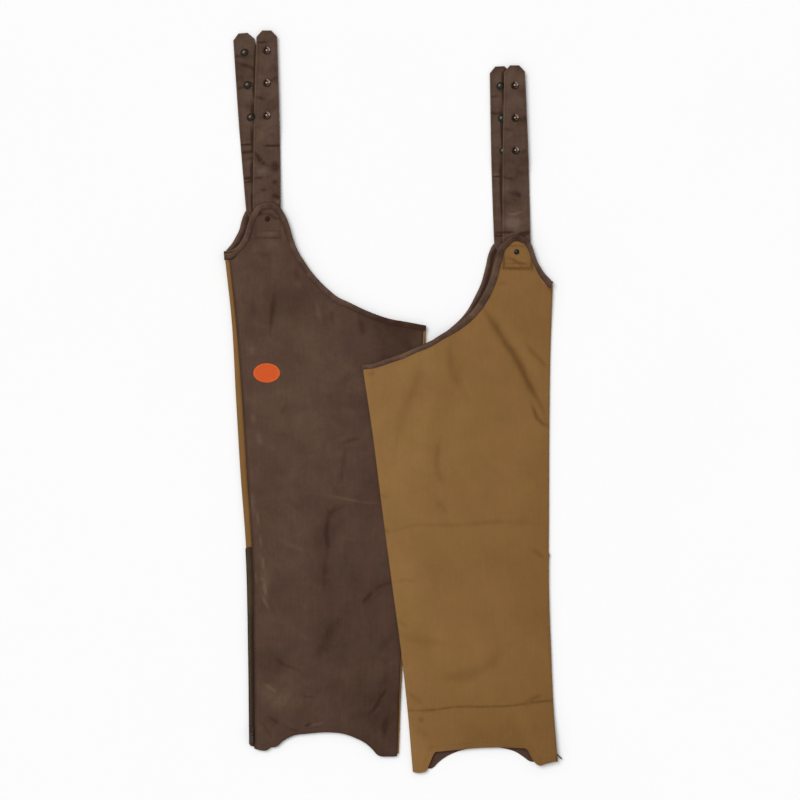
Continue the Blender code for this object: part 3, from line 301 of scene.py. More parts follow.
def crease(x, y, halfWidth, points, bend=0.0):
    # 1 along the middle of the path, dying away to its sides and more softly to its ends
    nearest, place, total = np.full(np.shape(x), 1e9), np.zeros(np.shape(x)), 0.0
    for (x0, y0), (x1, y1) in zip(points, points[1:]):
        length = math.hypot(x1 - x0, y1 - y0)
        s = np.clip(((x - x0) * (x1 - x0) + (y - y0) * (y1 - y0)) / length ** 2, 0, 1)
        far = np.hypot(x - x0 - s * (x1 - x0), y - y0 - s * (y1 - y0))
        place = np.where(far < nearest, total + s * length, place)
        nearest = np.minimum(nearest, far)
        total += length
    fade = 0.2 + 0.8 * ease(np.minimum(place, total - place) / (0.32 * total))
    return fade * ridge(nearest + bend * halfWidth, halfWidth * (0.55 + 0.45 * fade))


def softNoise(x, y, cell, seed):
    grid = np.random.RandomState(seed).uniform(-1, 1, (64, 64))
    gx, gy = np.asarray(x, float) / cell + 17.3, np.asarray(y, float) / cell + 9.1
    ix, iy = np.floor(gx).astype(int), np.floor(gy).astype(int)
    fx, fy = ease(gx - ix), ease(gy - iy)
    a = grid[ix % 64, iy % 64] * (1 - fx) + grid[(ix + 1) % 64, iy % 64] * fx
    b = grid[ix % 64, (iy + 1) % 64] * (1 - fx) + grid[(ix + 1) % 64, (iy + 1) % 64] * fx
    return a * (1 - fy) + b * fy


class LegShape:
    def __init__(self, leg, under=None):
        self.name, self.under, self.folds, self.seed = leg["name"], under, leg["folds"], leg["seed"]
        self.shading, self.underFolds = leg["shading"], leg["underFolds"]
        self.rows, *lines = table(leg["sides"])
        self.lines = dict(zip(("outer", "seam", "inner"), lines))
        self.inward = 1 if self.lines["inner"][0] > self.lines["outer"][0] else -1
        self.tops, self.hems = {}, {}
        for layer in ("lower", "upper"):
            line = smoothLine(leg[layer + "Top"])
            self.tops[layer] = line + normalsOf(line, self.inward) * cloth["edgeInset"]
            self.hems[layer] = smoothLine(leg[layer + "Hem"])
        self.strapZone, self.sewnBox, self.bulge = leg["strapZone"], leg["sewnBox"], leg.get("bulge")
        self.bandSeam = smoothLine(leg["bandSeam"], 3.0) if "bandSeam" in leg else None
        self.wraps = table(leg["innerWrap"])

    def line(self, key, y):
        return through(y, self.rows, self.lines[key])

    def innerWrap(self, y):
        return np.interp(y, *self.wraps)

    def ground(self, x, y):
        if self.under is None:
            return np.zeros(np.shape(x))
        over = plateau(x - self.under.line("inner", y), 8, 58) * ease((y + 575) / 80)
        return over * (self.under.upper(x, y, False) + cloth["cadWall"] / 2 + cloth["overLeg"])

    def base(self, x, y):
        rise = plateau(farFromLine(x, y, self.tops["lower"]), 20, 60)
        return self.ground(x, y) + cloth["cadWall"] / 2 + cloth["bindRise"] * rise

    def lower(self, x, y):      # its creases push up off the table
        lift = 0.0
        for halfWidth, height, *points in self.underFolds:
            lift = lift + height * self.foldAt(x, y, points, halfWidth)
        return self.base(x, y) + lift

    def upper(self, x, y, fine=True):
        outer, inner = self.line("outer", y), self.line("inner", y)
        across = np.clip((x - outer) / (inner - outer), 0, 1)
        edge = farFromLine(x, y, self.tops["upper"])
        bound = plateau(edge, 10, 100)
        strap = 1 / (1 + (np.hypot(x - self.strapZone[0], y - self.strapZone[1]) / 78) ** 4)
        apart = cloth["layerApart"] + cloth["loft"] * np.sqrt(4 * across * (1 - across)) * (1 - bound)
        apart = apart + (cloth["boundApart"] - cloth["layerApart"]) * bound + cloth["strapApart"] * strap
        if self.bulge is not None:
            bulgeX, bulgeY, bulgeHeight, bulgeRadius = self.bulge
            apart = apart + bulgeHeight / (1 + (np.hypot(x - bulgeX, y - bulgeY) / bulgeRadius) ** 4)
        if fine:
            apart = apart + self.relief(x, y, edge)
        return self.base(x, y) + apart

    def foldAt(self, x, y, points, halfWidth):      # bent, never dead straight
        return crease(x, y, halfWidth, points, 0.3 * softNoise(x, y, 22, 5))

    def sewnOver(self, x, y):
        middleX, middleY, halfX, halfY, _ = self.sewnBox
        return np.maximum(np.abs(x - middleX) - halfX, np.abs(y - middleY) - halfY)

    def relief(self, x, y, edge):
        keep = ease((edge - 4) / 12)
        lift = np.zeros(np.shape(x))
        for halfWidth, depth, _, *points in self.folds:
            lift = lift - depth * self.foldAt(x, y, points, halfWidth) * keep
        for step, (length, high) in enumerate(cloth["waves"]):
            lift = lift + high * softNoise(x, y, length, self.seed + step)
        hem = farFromLine(x, y, self.hems["upper"])
        wave = softNoise(x, y, 6.5, self.seed + 3) * cloth["pucker"]
        lift = lift - 0.2 * ridge(hem - 9.5, 1.6) + wave * (ridge(hem - 6, 7) + ridge(edge - 12, 9))
        lift = lift + self.sewnBox[4] * plateau(self.sewnOver(x, y), -1, 2.4)
        if self.bandSeam is not None:      # the band below the seam lies on the leg's cloth
            far = farFromLine(x, y, self.bandSeam)
            below = y < np.interp(x, self.bandSeam[:, 0], self.bandSeam[:, 1])
            lift = lift - 0.5 * ridge(far, 1.3) + wave * ridge(far, 8) + 0.55 * below * ease(far / 1.8)
        side = np.abs(x - self.line("seam" if self.under is None else "inner", y))
        return lift + 0.8 * wave * ridge(side, 8)

    def tone(self, x, y):
        # painted shade in the creases, along the sewn box's edge and in the band seam, painted highlights on
        # the ridges, with the cloth's own patches from the fold table
        shade = np.zeros(np.shape(x))
        for halfWidth, _, tone, *points in self.folds:
            shade = shade + tone * self.shading * self.foldAt(x, y, points, halfWidth)
        shade = shade - 0.5 * ridge(self.sewnOver(x, y) - 0.8, 1.6)
        if self.bandSeam is not None:
            shade = shade - 0.8 * ridge(farFromLine(x, y, self.bandSeam), 2.0)
        return shade

    def height(self, layer, x, y):
        return self.lower(x, y) if layer == "lower" else self.upper(x, y)


shapeA = LegShape(legA)
shapeB = LegShape(legB, shapeA)


def onlyActive(piece):
    bpy.ops.object.select_all(action="DESELECT")
    piece.select_set(True)
    bpy.context.view_layer.objects.active = piece


def inEdit(piece, work):     # the whole mesh is selected before the work starts
    onlyActive(piece)
    bpy.ops.object.mode_set(mode="EDIT")
    bpy.ops.mesh.select_mode(type="FACE")
    bpy.ops.mesh.select_all(action="SELECT")
    work()
    bpy.ops.object.mode_set(mode="OBJECT")


def applyModifiers(piece):
    onlyActive(piece)
    for name in [step.name for step in piece.modifiers]:
        bpy.ops.object.modifier_apply(modifier=name)


def layGrid(name, points):
    rows, columns = points.shape[:2]
    bpy.ops.mesh.primitive_grid_add(x_subdivisions=columns - 1, y_subdivisions=rows - 1, size=1)
    piece = bpy.context.object
    piece.name = name
    placed = (np.asarray(points, float) + layShift) * mm
    piece.data.vertices.foreach_set("co", placed.reshape(-1).astype(np.float32))
    piece.data.update()
    return piece


def setAttribute(piece, name, values):
    layer = piece.data.attributes.new(name, "FLOAT", "POINT")
    layer.data.foreach_set("value", np.asarray(values, np.float32).reshape(-1))


def dropCells(piece, keep):
    inEdit(piece, lambda: bpy.ops.mesh.select_all(action="DESELECT"))
    piece.data.polygons.foreach_set("select", [not k for k in np.asarray(keep).reshape(-1)])
    bpy.ops.object.mode_set(mode="EDIT")
    bpy.ops.mesh.delete(type="FACE")
    bpy.ops.object.mode_set(mode="OBJECT")


def mergeDoubles(piece, apart):
    def work():
        bpy.ops.mesh.remove_doubles(threshold=apart * mm)
        bpy.ops.mesh.normals_make_consistent(inside=False)
    inEdit(piece, work)


def smoothPiece(piece, angle):
    onlyActive(piece)
    bpy.ops.object.shade_smooth_by_angle(angle=math.radians(angle))


def giveWall(piece, thickness, offset=0.0, rounded=0.0):
    wall = piece.modifiers.new("wall", "SOLIDIFY")
    wall.thickness = thickness * mm
    wall.offset = offset
    if rounded:
        edge = piece.modifiers.new("edge", "BEVEL")
        edge.width = rounded * mm
        edge.segments = 2
        edge.limit_method = "ANGLE"
        edge.angle_limit = math.radians(50)
    applyModifiers(piece)
    points = np.empty(len(piece.data.vertices) * 3, np.float32)
    piece.data.vertices.foreach_get("co", points)
    points[2::3] = np.maximum(points[2::3], cloth["clear"] * mm)     # nothing dips into the table
    piece.data.vertices.foreach_set("co", points)
    smoothPiece(piece, 40)


def paint(piece, *materials):
    piece.data.materials.clear()
    for item in materials:
        piece.data.materials.append(item)


def nodeOf(key, part):       # frontA, strap: leg_a_front_strap
    return f"leg_{key[-1].lower()}_{key[:-1]}_{part}"


def finishPiece(piece, slotName, *replaced):
    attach(piece, "root")
    if replaced:
        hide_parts(*replaced)


# sums on shader sockets
class Socket:
    def __init__(self, maker, link):
        self.maker, self.link = maker, link

    def maths(self, operation, *others):
        return self.maker.node("ShaderNodeMath", {"operation": operation}, dict(enumerate((self, *others))))

    def __add__(self, other):
        return self.maths("ADD", other)

    __radd__ = __add__

    def __sub__(self, other):
        return self.maths("SUBTRACT", other)

    def __mul__(self, other):
        return self.maths("MULTIPLY", other)

    def sine(self):
        return self.maths("SINE")

    def clamped(self):
        return self.maths("MINIMUM", 1.0).maths("MAXIMUM", 0.0)


class Finish:
    names = {"colour": "Base Color", "roughness": "Roughness", "metallic": "Metallic", "normal": "Normal",
             "specular": "Specular IOR Level"}

    def __init__(self, name):
        self.material = bpy.data.materials.new(name)
        self.material.use_nodes = True
        self.tree = self.material.node_tree
        self.shader = self.tree.nodes["Principled BSDF"]

    def node(self, kind, settings=None, inputs=None, output=0):
        made = self.tree.nodes.new(kind)
        for key, value in (settings or {}).items():
            setattr(made, key, value)
        for key, value in (inputs or {}).items():
            self.feed(made.inputs[key], value)
        return Socket(self, made.outputs[output])

    def feed(self, socket, value):
        if isinstance(value, Socket):
            self.tree.links.new(value.link, socket)
        elif socket.type == "RGBA" and len(value) == 3:
            socket.default_value = (*value, 1.0)
        else:
            socket.default_value = value

    def set(self, **values):
        for key, value in values.items():
            self.feed(self.shader.inputs[self.names[key]], value)

    def place(self, turn=0.0, scale=(1, 1, 1)):
        where = self.node("ShaderNodeTexCoord", output=3)
        inputs = {"Vector": where, "Rotation": (0, 0, turn), "Scale": scale}
        return self.node("ShaderNodeMapping", None, inputs)

    def noise(self, where, scale, detail=3.0, rough=0.55, distortion=0.0):
        return self.node("ShaderNodeTexNoise", None, {
            "Vector": where, "Scale": scale, "Detail": detail, "Roughness": rough, "Distortion": distortion})

    def mix(self, share, a, b):
        return self.node("ShaderNodeMix", {"data_type": "RGBA"}, {0: share, 6: a, 7: b}, 2)

    def tint(self, colour, by):
        return self.node("ShaderNodeVectorMath", {"operation": "MULTIPLY"}, {0: colour, 1: by})

    def ramp(self, value, stops):
        made = self.node("ShaderNodeValToRGB", None, {"Fac": value})
        elements = made.link.node.color_ramp.elements
        while len(elements) < len(stops):
            elements.new(0.5)
        for element, (position, colour) in zip(elements, stops):
            element.position, element.color = position, (*colour, 1.0)
        return made

    def bump(self, height, strength, distance):
        inputs = {"Height": height, "Strength": strength, "Distance": distance}
        return self.node("ShaderNodeBump", None, inputs)

    def axes(self, where):
        parts = self.node("ShaderNodeSeparateXYZ", None, {0: where}).link.node.outputs
        return [Socket(self, out) for out in parts]

    def attribute(self, name):
        return self.node("ShaderNodeAttribute", {"attribute_name": name}, None, 2)


def canvas(name, look, turn):
    made = Finish(name)
    where = made.place(turn)
    x, y, _ = made.axes(where)
    thread = 2 * math.pi / (look["threadPitch"] * mm)
    weave = (x * thread).sine() * (y * thread).sine()
    cloudy = made.noise(where, look["cloudScale"], 4.0, 0.6)
    patchy = made.noise(where, look["patchScale"], 5.0, 0.62, 0.4)
    mottled = made.noise(where, 150.0, 3.0, 0.6)
    fine = made.noise(where, 480.0, 2.0, 0.6)
    slubs = made.noise(made.place(turn, (1, 0.06, 1)), 300.0, 2.0, 0.5)
    light = 0.5
    for key, pattern in (("cloudy", cloudy), ("patchy", patchy), ("mottled", mottled), ("fine", fine),
                         ("slubs", slubs)):
        light = light + (pattern - 0.5) * look[key]
    # the tone attribute brings in the painted shade and highlights of creases, seams and edges
    light = (light + made.attribute("tone") * look["toned"]).clamped()
    warm = made.noise(where, look["cloudScale"] * 1.7, 3.0, 0.5)
    shade = made.ramp(light, [(0.0, look["dark"]), (0.5, look["base"]), (1.0, look["light"])])
    stained = ((warm - 0.42) * 3.0).clamped() * look["stained"]
    height = weave * 0.4 + fine * 0.9 + slubs * 0.5 + mottled * 1.2
    made.set(colour=made.mix(stained, shade, made.tint(shade, look["stain"])), specular=0.12,
             roughness=(look["roughness"] + (patchy - 0.5) * 0.25).clamped(),
             normal=made.bump(height, look["bump"], 0.0003))
    return made.material


# dark, base and light are the shades; stain tints them in places; the rest weighs or sizes the patterns
brownLook = {
    "dark": (0.034, 0.0138, 0.0078), "base": (0.0710, 0.0365, 0.0240), "light": (0.119, 0.067, 0.0445),
    "stain": (0.99, 1.14, 0.97), "stained": 0.6, "threadPitch": 1.1, "cloudScale": 7.0, "patchScale": 30.0,
    "cloudy": 0.55, "patchy": 0.6, "mottled": 0.2, "fine": 0.15, "slubs": 0.2, "toned": 0.5,
    "roughness": 0.7, "bump": 0.45}
tanLook = {
    "dark": (0.110, 0.050, 0.012), "base": (0.203, 0.1015, 0.0305), "light": (0.292, 0.160, 0.057),
    "stain": (0.94, 1.0, 0.85), "stained": 0.5, "threadPitch": 1.0, "cloudScale": 6.0, "patchScale": 26.0,
    "cloudy": 0.35, "patchy": 0.25, "mottled": 0.1, "fine": 0.1, "slubs": 0.12, "toned": 0.5,
    "roughness": 0.72, "bump": 0.35}
strapLook = dict(
    brownLook, base=(0.078, 0.0430, 0.0292), light=(0.119, 0.074, 0.052), stain=(0.92, 1.02, 0.84),
    cloudScale=13.0, patchScale=55.0, cloudy=0.9, patchy=0.9, toned=0.7, threadPitch=0.9)
bindLook = dict(
    brownLook, base=(0.069, 0.037, 0.0252), cloudScale=16.0, patchScale=70.0, cloudy=0.7, patchy=0.8,
    threadPitch=0.8, stain=(1.42, 1.51, 1.07), stained=0.5, toned=0.75)
zipLook = dict(
    brownLook, dark=(0.018, 0.009, 0.004), base=(0.043, 0.026, 0.013), light=(0.080, 0.056, 0.032),
    stain=(1.3, 1.3, 1.2), cloudScale=10.0, patchScale=70.0, cloudy=0.4, threadPitch=0.7)

turnB = math.radians(3.5)      # leg B's grain lies askew
brownA = canvas("brownCanvasA", brownLook, 0.0)
brownB = canvas("brownCanvasB", brownLook, turnB)
tanA = canvas("tanCanvasA", tanLook, 0.0)
tanB = canvas("tanCanvasB", tanLook, turnB)
strapCanvas = canvas("strapCanvas", strapLook, 0.0)
bindingTape = canvas("bindingTape", bindLook, 0.6)
zipTape = canvas("zipTape", zipLook, 0.785)


def metal(name, colour, roughness):
    made = Finish(name)
    rubbed = made.noise(made.place(), 900.0, 3.0, 0.6)
    bright = [min(1, c * 2.4) for c in colour]
    made.set(colour=made.mix((rubbed - 0.35).clamped() * 0.5, colour, bright), metallic=1.0,
             roughness=(roughness + (rubbed - 0.5) * 0.25).clamped(), normal=made.bump(rubbed, 0.15, 0.0001))
    return made.material




domeMetal = metal("domeMetal", (0.032, 0.033, 0.025), 0.22)
ringMetal = metal("ringMetal", (0.028, 0.017, 0.012), 0.28)
# a bright finish painted on the ring snaps as a highlight
cupMetal = metal("cupMetal", (0.23, 0.175, 0.145), 0.36)
warmMetal = metal("warmMetal", (0.038, 0.029, 0.022), 0.24)
rivetMetal = metal("rivetMetal", (0.020, 0.020, 0.014), 0.36)
bronzeMetal = metal("bronzeMetal", (0.036, 0.018, 0.011), 0.6)
sliderMetal = metal("sliderMetal", (0.040, 0.028, 0.019), 0.42)
pullMetal = metal("pullMetal", (0.075, 0.058, 0.046), 0.42)


def thread(name, colour):
    made = Finish(name)
    twist = made.noise(made.place(), 1600.0, 2.0, 0.5)
    made.set(colour=made.mix(twist, [c * 0.7 for c in colour], [min(1, c * 1.3) for c in colour]),
             roughness=0.8, specular=0.1, normal=made.bump(twist, 0.4, 0.0001))
    return made.material


brownThread = thread("brownThread", (0.058, 0.032, 0.021))
tanThread = thread("tanThread", (0.150, 0.078, 0.022))
print("finishes made")


def shareOf(line, side0, side1):     # how far across the panel each point of a line is
    share = (line[:, 0] - side0(line[:, 1])) / (side1(line[:, 1]) - side0(line[:, 1]))
    order = np.argsort(share)
    return share[order], line[order, 1]


def sharesWithBusy(count, busy):     # rows closer together where there is more to show
    fine = np.linspace(0, 1, 2001)
    weight = np.ones(2001)
    for start, end, times in busy:
        weight[(fine >= start) & (fine <= end)] = times
    total = np.concatenate(([0], np.cumsum((weight[1:] + weight[:-1]) / 2)))
    return np.interp(np.linspace(0, total[-1], count), total, fine)


def panelPlan(shape, layer, side0, side1, columns, rows):
    topShare, topY = shareOf(shape.tops[layer], side0, side1)
    hemShare, hemY = shareOf(shape.hems[layer], side0, side1)
    even = np.linspace(0, 1, columns)
    length = runOf(shape.tops[layer])
    shares = 0.6 * np.interp(even * length[-1], length, topShare) + 0.4 * even
    shares[0], shares[-1] = 0.0, 1.0
    yTop, yHem = np.interp(shares, topShare, topY), np.interp(shares, hemShare, hemY)
    y = yHem + np.asarray(rows)[:, None] * (yTop - yHem)
    x = side0(y) + shares * (side1(y) - side0(y))
    return x, y


def rowAt(shape, layer, y, end):
    hem, top = shape.hems[layer][end, 1], shape.tops[layer][end, 1]
    return (y - hem) / (top - hem)


def toneFor(shape, look, x, y):
    # lighter to one side and darker towards the bottom and inner lower corner: painted light falling from the
    # upper left, mixed with the cloth's own colour drift; darker along the hem and the top edge
    outer, inner = shape.line("outer", y), shape.line("inner", y)
    across = np.clip((x - outer) / (inner - outer), 0, 1)
    down = np.clip((260 - y) / 880, 0, 1)
    tone = look["across"] * (across - 0.5) + look["down"] * (down - 0.5) + look["corner"] * across * down
    tone = tone + shape.tone(x, y) - look["edge"] * ridge(farFromLine(x, y, shape.hems["upper"]), 7)
    return tone - look["edge"] * ridge(farFromLine(x, y, shape.tops["upper"]), 12)


def frontPanel(shape, layer, columns, rows, tones):
    def seamSide(y):
        return shape.line("seam", y) + shape.inward * cloth["panelGap"] / 2

    def wrapSide(y):
        return shape.line("inner", y) - shape.inward * (shape.innerWrap(y) + cloth["panelGap"])

    x, y = panelPlan(shape, layer, seamSide, wrapSide, columns, rows)
    fromSeam, fromWrap = np.abs(x - seamSide(y)), np.abs(x - wrapSide(y))
    z = np.maximum(shape.height(layer, x, y), 0.75) - 0.35 * ridge(fromSeam, 1.2)
    z = z - (0.15 + 0.12 * (4.4 - shape.innerWrap(y))) * ridge(fromWrap, 1.6)
    piece = layGrid(shape.name + "FrontPanel", np.stack([x, y, z], axis=-1))
    # painted shade along the seam and along the wrapped edge
    tone = toneFor(shape, tones, x, y) - 0.9 * ridge(fromSeam, 2.2) - 0.5 * ridge(fromWrap, 1.6)
    setAttribute(piece, "tone", tone)
    giveWall(piece, cloth["wall"])
    return piece


def foldRound(edge, inward, y, zStart, zEnd, thickness, angles):     # a turn from one height to another
    middle, radius = (zStart + zEnd) / 2, (zEnd - zStart) / 2
    reach = inward * np.abs(radius)
    centre = edge + inward * (np.abs(radius) + thickness / 2)
    return [np.stack([centre - reach * np.cos(angle), y, middle + radius * np.sin(angle)], axis=-1)
            for angle in map(np.radians, angles)]


def backPanel(shape, layer, columns, rows, zipTop, wrapTop, tones):
    other = "upper" if layer == "lower" else "lower"
    turn = shape.inward
    shares = sorted(set(list(rows) + [
        rowAt(shape, layer, zipTop, 0), rowAt(shape, layer, zipTop + 0.3, 0),
        rowAt(shape, layer, wrapTop["outer"], 0), rowAt(shape, layer, wrapTop["inner"], -1)]))

    def reach(y, key):
        x = shape.line(key, y)
        return np.abs(shape.height("upper", x, y) - shape.height("lower", x, y)) / 2 + cloth["cadWall"] / 2

    def outerSide(y):       # where the flat part ends and the fold starts
        return shape.line("outer", y) + turn * reach(y, "outer")

    def innerSide(y):
        return shape.line("inner", y) - turn * reach(y, "inner")

    x, y = panelPlan(shape, layer, outerSide, innerSide, columns, shares)
    flat = np.stack([x, y, shape.height(layer, x, y)], axis=-1)
    strips = []
    for key, end, inward in (("outer", 0, turn), ("inner", -1, -turn)):
        sideY, edge = y[:, end], shape.line(key, y[:, end])
        zEnd = shape.height(other, x[:, end], sideY)
        if key == "outer":
            wrapX = shape.line("seam", sideY) - inward * cloth["panelGap"] / 2
        else:
            wrapX = edge + inward * shape.innerWrap(sideY)
        radius = np.abs(zEnd - flat[:, end, 2]) / 2
        turned = (np.abs(wrapX - edge) - 0.3 - cloth["cadWall"] / 2) / radius
        last = np.degrees(np.arccos(np.clip(1 - turned, 0, 1)))
        angles = [-90 + (last + 90) * step / 8 for step in range(1, 9)]
        folded = foldRound(edge, inward, sideY, flat[:, end, 2], zEnd, cloth["cadWall"], angles)
        rim = folded[-1]
        for share in (0.5, 1.0):
            midX = rim[:, 0] + (wrapX - rim[:, 0]) * share
            z = rim[:, 2] + shape.height(other, midX, sideY) - shape.height(other, rim[:, 0], sideY)
            folded.append(np.stack([midX, sideY, z], axis=-1))
        strips.append(folded)
    outer, inner = strips
    grid = np.stack(list(reversed(outer)) + [flat[:, j] for j in range(columns)] + inner, axis=1)
    midOuter, midInner = (y[1:, 0] + y[:-1, 0]) / 2, (y[1:, -1] + y[:-1, -1]) / 2
    keep = np.ones((len(shares) - 1, grid.shape[1] - 1), bool)
    keep[:, :len(outer)] = ((midOuter > zipTop + 0.3) & (midOuter < wrapTop["outer"]))[:, None]
    keep[:, -len(inner):] = (midInner < wrapTop["inner"])[:, None]
    piece = layGrid(shape.name + "BackPanel", grid)
    tone = toneFor(shape, tones, grid[..., 0], grid[..., 1])
    # painted shade along the wrapped edge at the seam
    tone[:, 0] -= 0.8
    setAttribute(piece, "tone", tone)
    dropCells(piece, keep)
    if layer == "upper":     # beside the zip the panel ends in a free edge over it
        beside = y[:, 0] <= zipTop + 0.4
        edgeX = shape.line("outer", y[:, 0]) - 1.2 * turn * ridge(y[:, 0] - zipTop + 3, 6)
        flapX = edgeX[:, None] + np.array([0.0, 0.35, 0.7, 1.0]) * (x[:, 0] - edgeX)[:, None]
        flapY = np.repeat(y[:, :1], 4, axis=1)
        flap = np.stack([flapX, flapY, shape.height(layer, flapX, flapY)], axis=-1)
        flap[:, 0, 2] -= 0.35
        flap[:, -1] = flat[:, 0]
        strip = layGrid("flap", flap[beside])
        tone = toneFor(shape, tones, flapX[beside], flapY[beside])
        # painted shade along the free edge over the zip
        setAttribute(strip, "tone", tone - np.array([0.5, 0, 0, 0]))
        onlyActive(piece)
        strip.select_set(True)
        bpy.ops.object.join()
        mergeDoubles(piece, 0.01)
    giveWall(piece, cloth["wall"])
    return piece


zipTopA = shapeA.hems["lower"][0, 1] + cloth["zipLength"]
zipTopB = shapeB.hems["upper"][0, 1] + cloth["zipLength"] + 15
# tone gradients across the leg, down it and into its inner lower corner, partly painted light from the upper
# left, partly the cloth's own drift; edge darkens along the hem and the top edge
brownTones = {"across": -0.25, "down": -0.10, "corner": -0.20, "edge": 0.2}
tanTones = {"across": 0.50, "down": -0.28, "corner": 0.0, "edge": 0.12}
grids = {"shownRows": 340, "hiddenRows": 120, "frontColumns": 130, "backColumns": 116, "hiddenColumns": 60}
shownA = sharesWithBusy(grids["shownRows"], [(0, 0.022, 2.2), (0.93, 1, 1.7)])
shownB = sharesWithBusy(grids["shownRows"], [(0, 0.022, 2.2), (0.075, 0.15, 1.9), (0.95, 1, 1.6)])
hidden = np.linspace(0, 1, grids["hiddenRows"])
wrapTopA, wrapTopB = {"outer": 251.3, "inner": 128.0}, {"outer": 205.0, "inner": 60.0}

frontA = frontPanel(shapeA, "upper", grids["frontColumns"], shownA, brownTones)
backA = backPanel(shapeA, "lower", grids["hiddenColumns"], hidden, zipTopA, wrapTopA, tanTones)
backB = backPanel(shapeB, "upper", grids["backColumns"], shownB, zipTopB, wrapTopB, tanTones)
frontB = frontPanel(shapeB, "lower", grids["hiddenColumns"], hidden, brownTones)
for key, piece, finish, slotName in (
        ("frontA", frontA, brownA, "brown_canvas"), ("backA", backA, tanA, "tan_canvas"),
        ("backB", backB, tanB, "tan_canvas"), ("frontB", frontB, brownB, "brown_canvas")):
    paint(piece, finish)
    finishPiece(piece, slotName, nodeOf(key, "panel"))
print("panels laid")

straps = {
    "length": 361.0, "hiddenWidth": 40.0, "tipWidth": 36.5, "tipFlat": 16.0, "tipCut": 11.5,
    "snapsFromTip": (35.4, 92.9, 150.4),
    "nudges": {     # an edge pushed aside: along, reach, side, shift
        "legAupper": [(207, 7, -1, 2.8)], "legAlower": [(335, 15, 1, 2.2)]},
    "taper": [(11.5, 36.5), (79, 40.7), (123, 43.4), (176, 46.0), (238, 47.8), (300, 49.0)],
    "lowerLie": [(90, 1.6), (125, 0.95), (176, 0.95), (198, 2.6), (361, 2.6)],     # height along the strap
    "upperLieA": [(90, 5.0), (125, 3.5), (165, 3.8), (198, 6.2), (361, 6.2)],
    "upperLieB": [(90, 5.2), (125, 3.6), (165, 4.2), (198, 8.0), (361, 8.0)],
}


class StrapShape:
    # a crease is half width, depth, tone, then its line as (along, side) pairs; the tone paints shade into
    # creases and highlights onto ridges, and also gives the strap's own lighter and darker patches
    def __init__(self, shape, layer, base, tip, lie, creases):
        self.shape, self.layer, self.creases = shape, layer, creases
        self.nudges = straps["nudges"].get(shape.name + layer, ())
        self.base, tip = np.array(base), np.array(tip)
        self.along = (tip - self.base) / np.hypot(*(tip - self.base))
        self.across = np.array([self.along[1], -self.along[0]])
        self.lie = table(straps[lie])

    def width(self, at):
        fromTip = straps["length"] - at
        hidden, flatEnd = straps["hiddenWidth"], straps["tipFlat"]
        width = np.interp(fromTip, *table(straps["taper"]))
        width = np.minimum(width, hidden + (49.0 - hidden) * ease((at - 34) / 14))
        return np.minimum(width, flatEnd + (straps["tipWidth"] - flatEnd) * fromTip / straps["tipCut"])

    def place(self, at, side):
        at, side = np.asarray(at, float), np.asarray(side, float)
        return [self.base[i] + self.along[i] * at + self.across[i] * side for i in (0, 1)]

    def measure(self, x, y):
        x, y = np.asarray(x) - self.base[0], np.asarray(y) - self.base[1]
        return x * self.along[0] + y * self.along[1], x * self.across[0] + y * self.across[1]

    def height(self, at, side, fine=True):
        x, y = self.place(at, side)
        lift = cloth["cadWall"] / 2 + cloth["strapGap"] + cloth["strapWall"] / 2
        below = self.layer == "lower"
        sewn = self.shape.lower(x, y) + lift if below else self.shape.upper(x, y, False) - lift
        z = sewn + (np.interp(at, *self.lie) - sewn) * ease((at - 52) / 42)
        if fine:
            for halfWidth, depth, _, *points in self.creases:
                z = z - depth * crease(at, side, halfWidth, points)
            fromSnap = np.min([np.abs(at - (straps["length"] - s)) for s in straps["snapsFromTip"]], axis=0)
            wavy = 1 - np.exp(-fromSnap / 14)
            z = z + (0.22 * softNoise(x, y, 17, 51) + 0.12 * softNoise(x, y, 7, 52)) * wavy
        return np.maximum(z, cloth["strapWall"] / 2 + 0.08)

    def top(self, x, y):
        return self.height(*self.measure(x, y))


def strapPiece(key, strap, over):
    length, cut = straps["length"], straps["tipCut"]
    at = np.concatenate((np.linspace(0, length - cut, 150), np.linspace(length - cut, length, 6)[1:]))
    share = np.array([-1, -0.97, -0.92, -0.86, -0.80, -0.65, -0.5, -0.25, 0])
    share = np.concatenate((share, -share[-2::-1]))
    half = strap.width(at) / 2
    side = half[:, None] * share[None, :]
    along = np.repeat(at[:, None], len(share), axis=1)
    for middleAt, reach, edge, shift in strap.nudges:
        side = side + shift * ridge(along - middleAt, reach) * np.maximum(edge * share, 0) ** 3
    x, y = strap.place(along, side)
    inside = half[:, None] - np.abs(side)
    z = strap.height(along, side) - 0.12 * ridge(inside - 3.6, 0.9) - 0.25 * ridge(inside, 0.8)
    piece = layGrid("strap" + key[0].upper() + key[1:], np.stack([x, y, z], axis=-1))
    # painted highlight along the strap's edges, painted shade along its stitch line, a random drift of the
    # strap's own colour, and the creases' painted shade and highlights
    tone = 0.35 * ridge(inside, 1.4) - 0.15 * ridge(inside - 3.4, 1.2) + 0.25 * softNoise(x, y, 25, 53)
    for halfWidth, _, dark, *points in strap.creases:
        tone = tone + dark * crease(along, side, halfWidth, points)
    if over is not None:         # the strap on top shades this one along its own edge
        overAt, overSide = over.measure(x, y)
        tone = tone - 2.6 * ridge(np.abs(overSide) - over.width(overAt) / 2 - 0.5, 1.8)
    setAttribute(piece, "tone", tone)
    giveWall(piece, cloth["strapWall"], 0.0, 0.4)
    paint(piece, strapCanvas)
    finishPiece(piece, "strap_canvas", nodeOf(key, "strap"))
    return piece


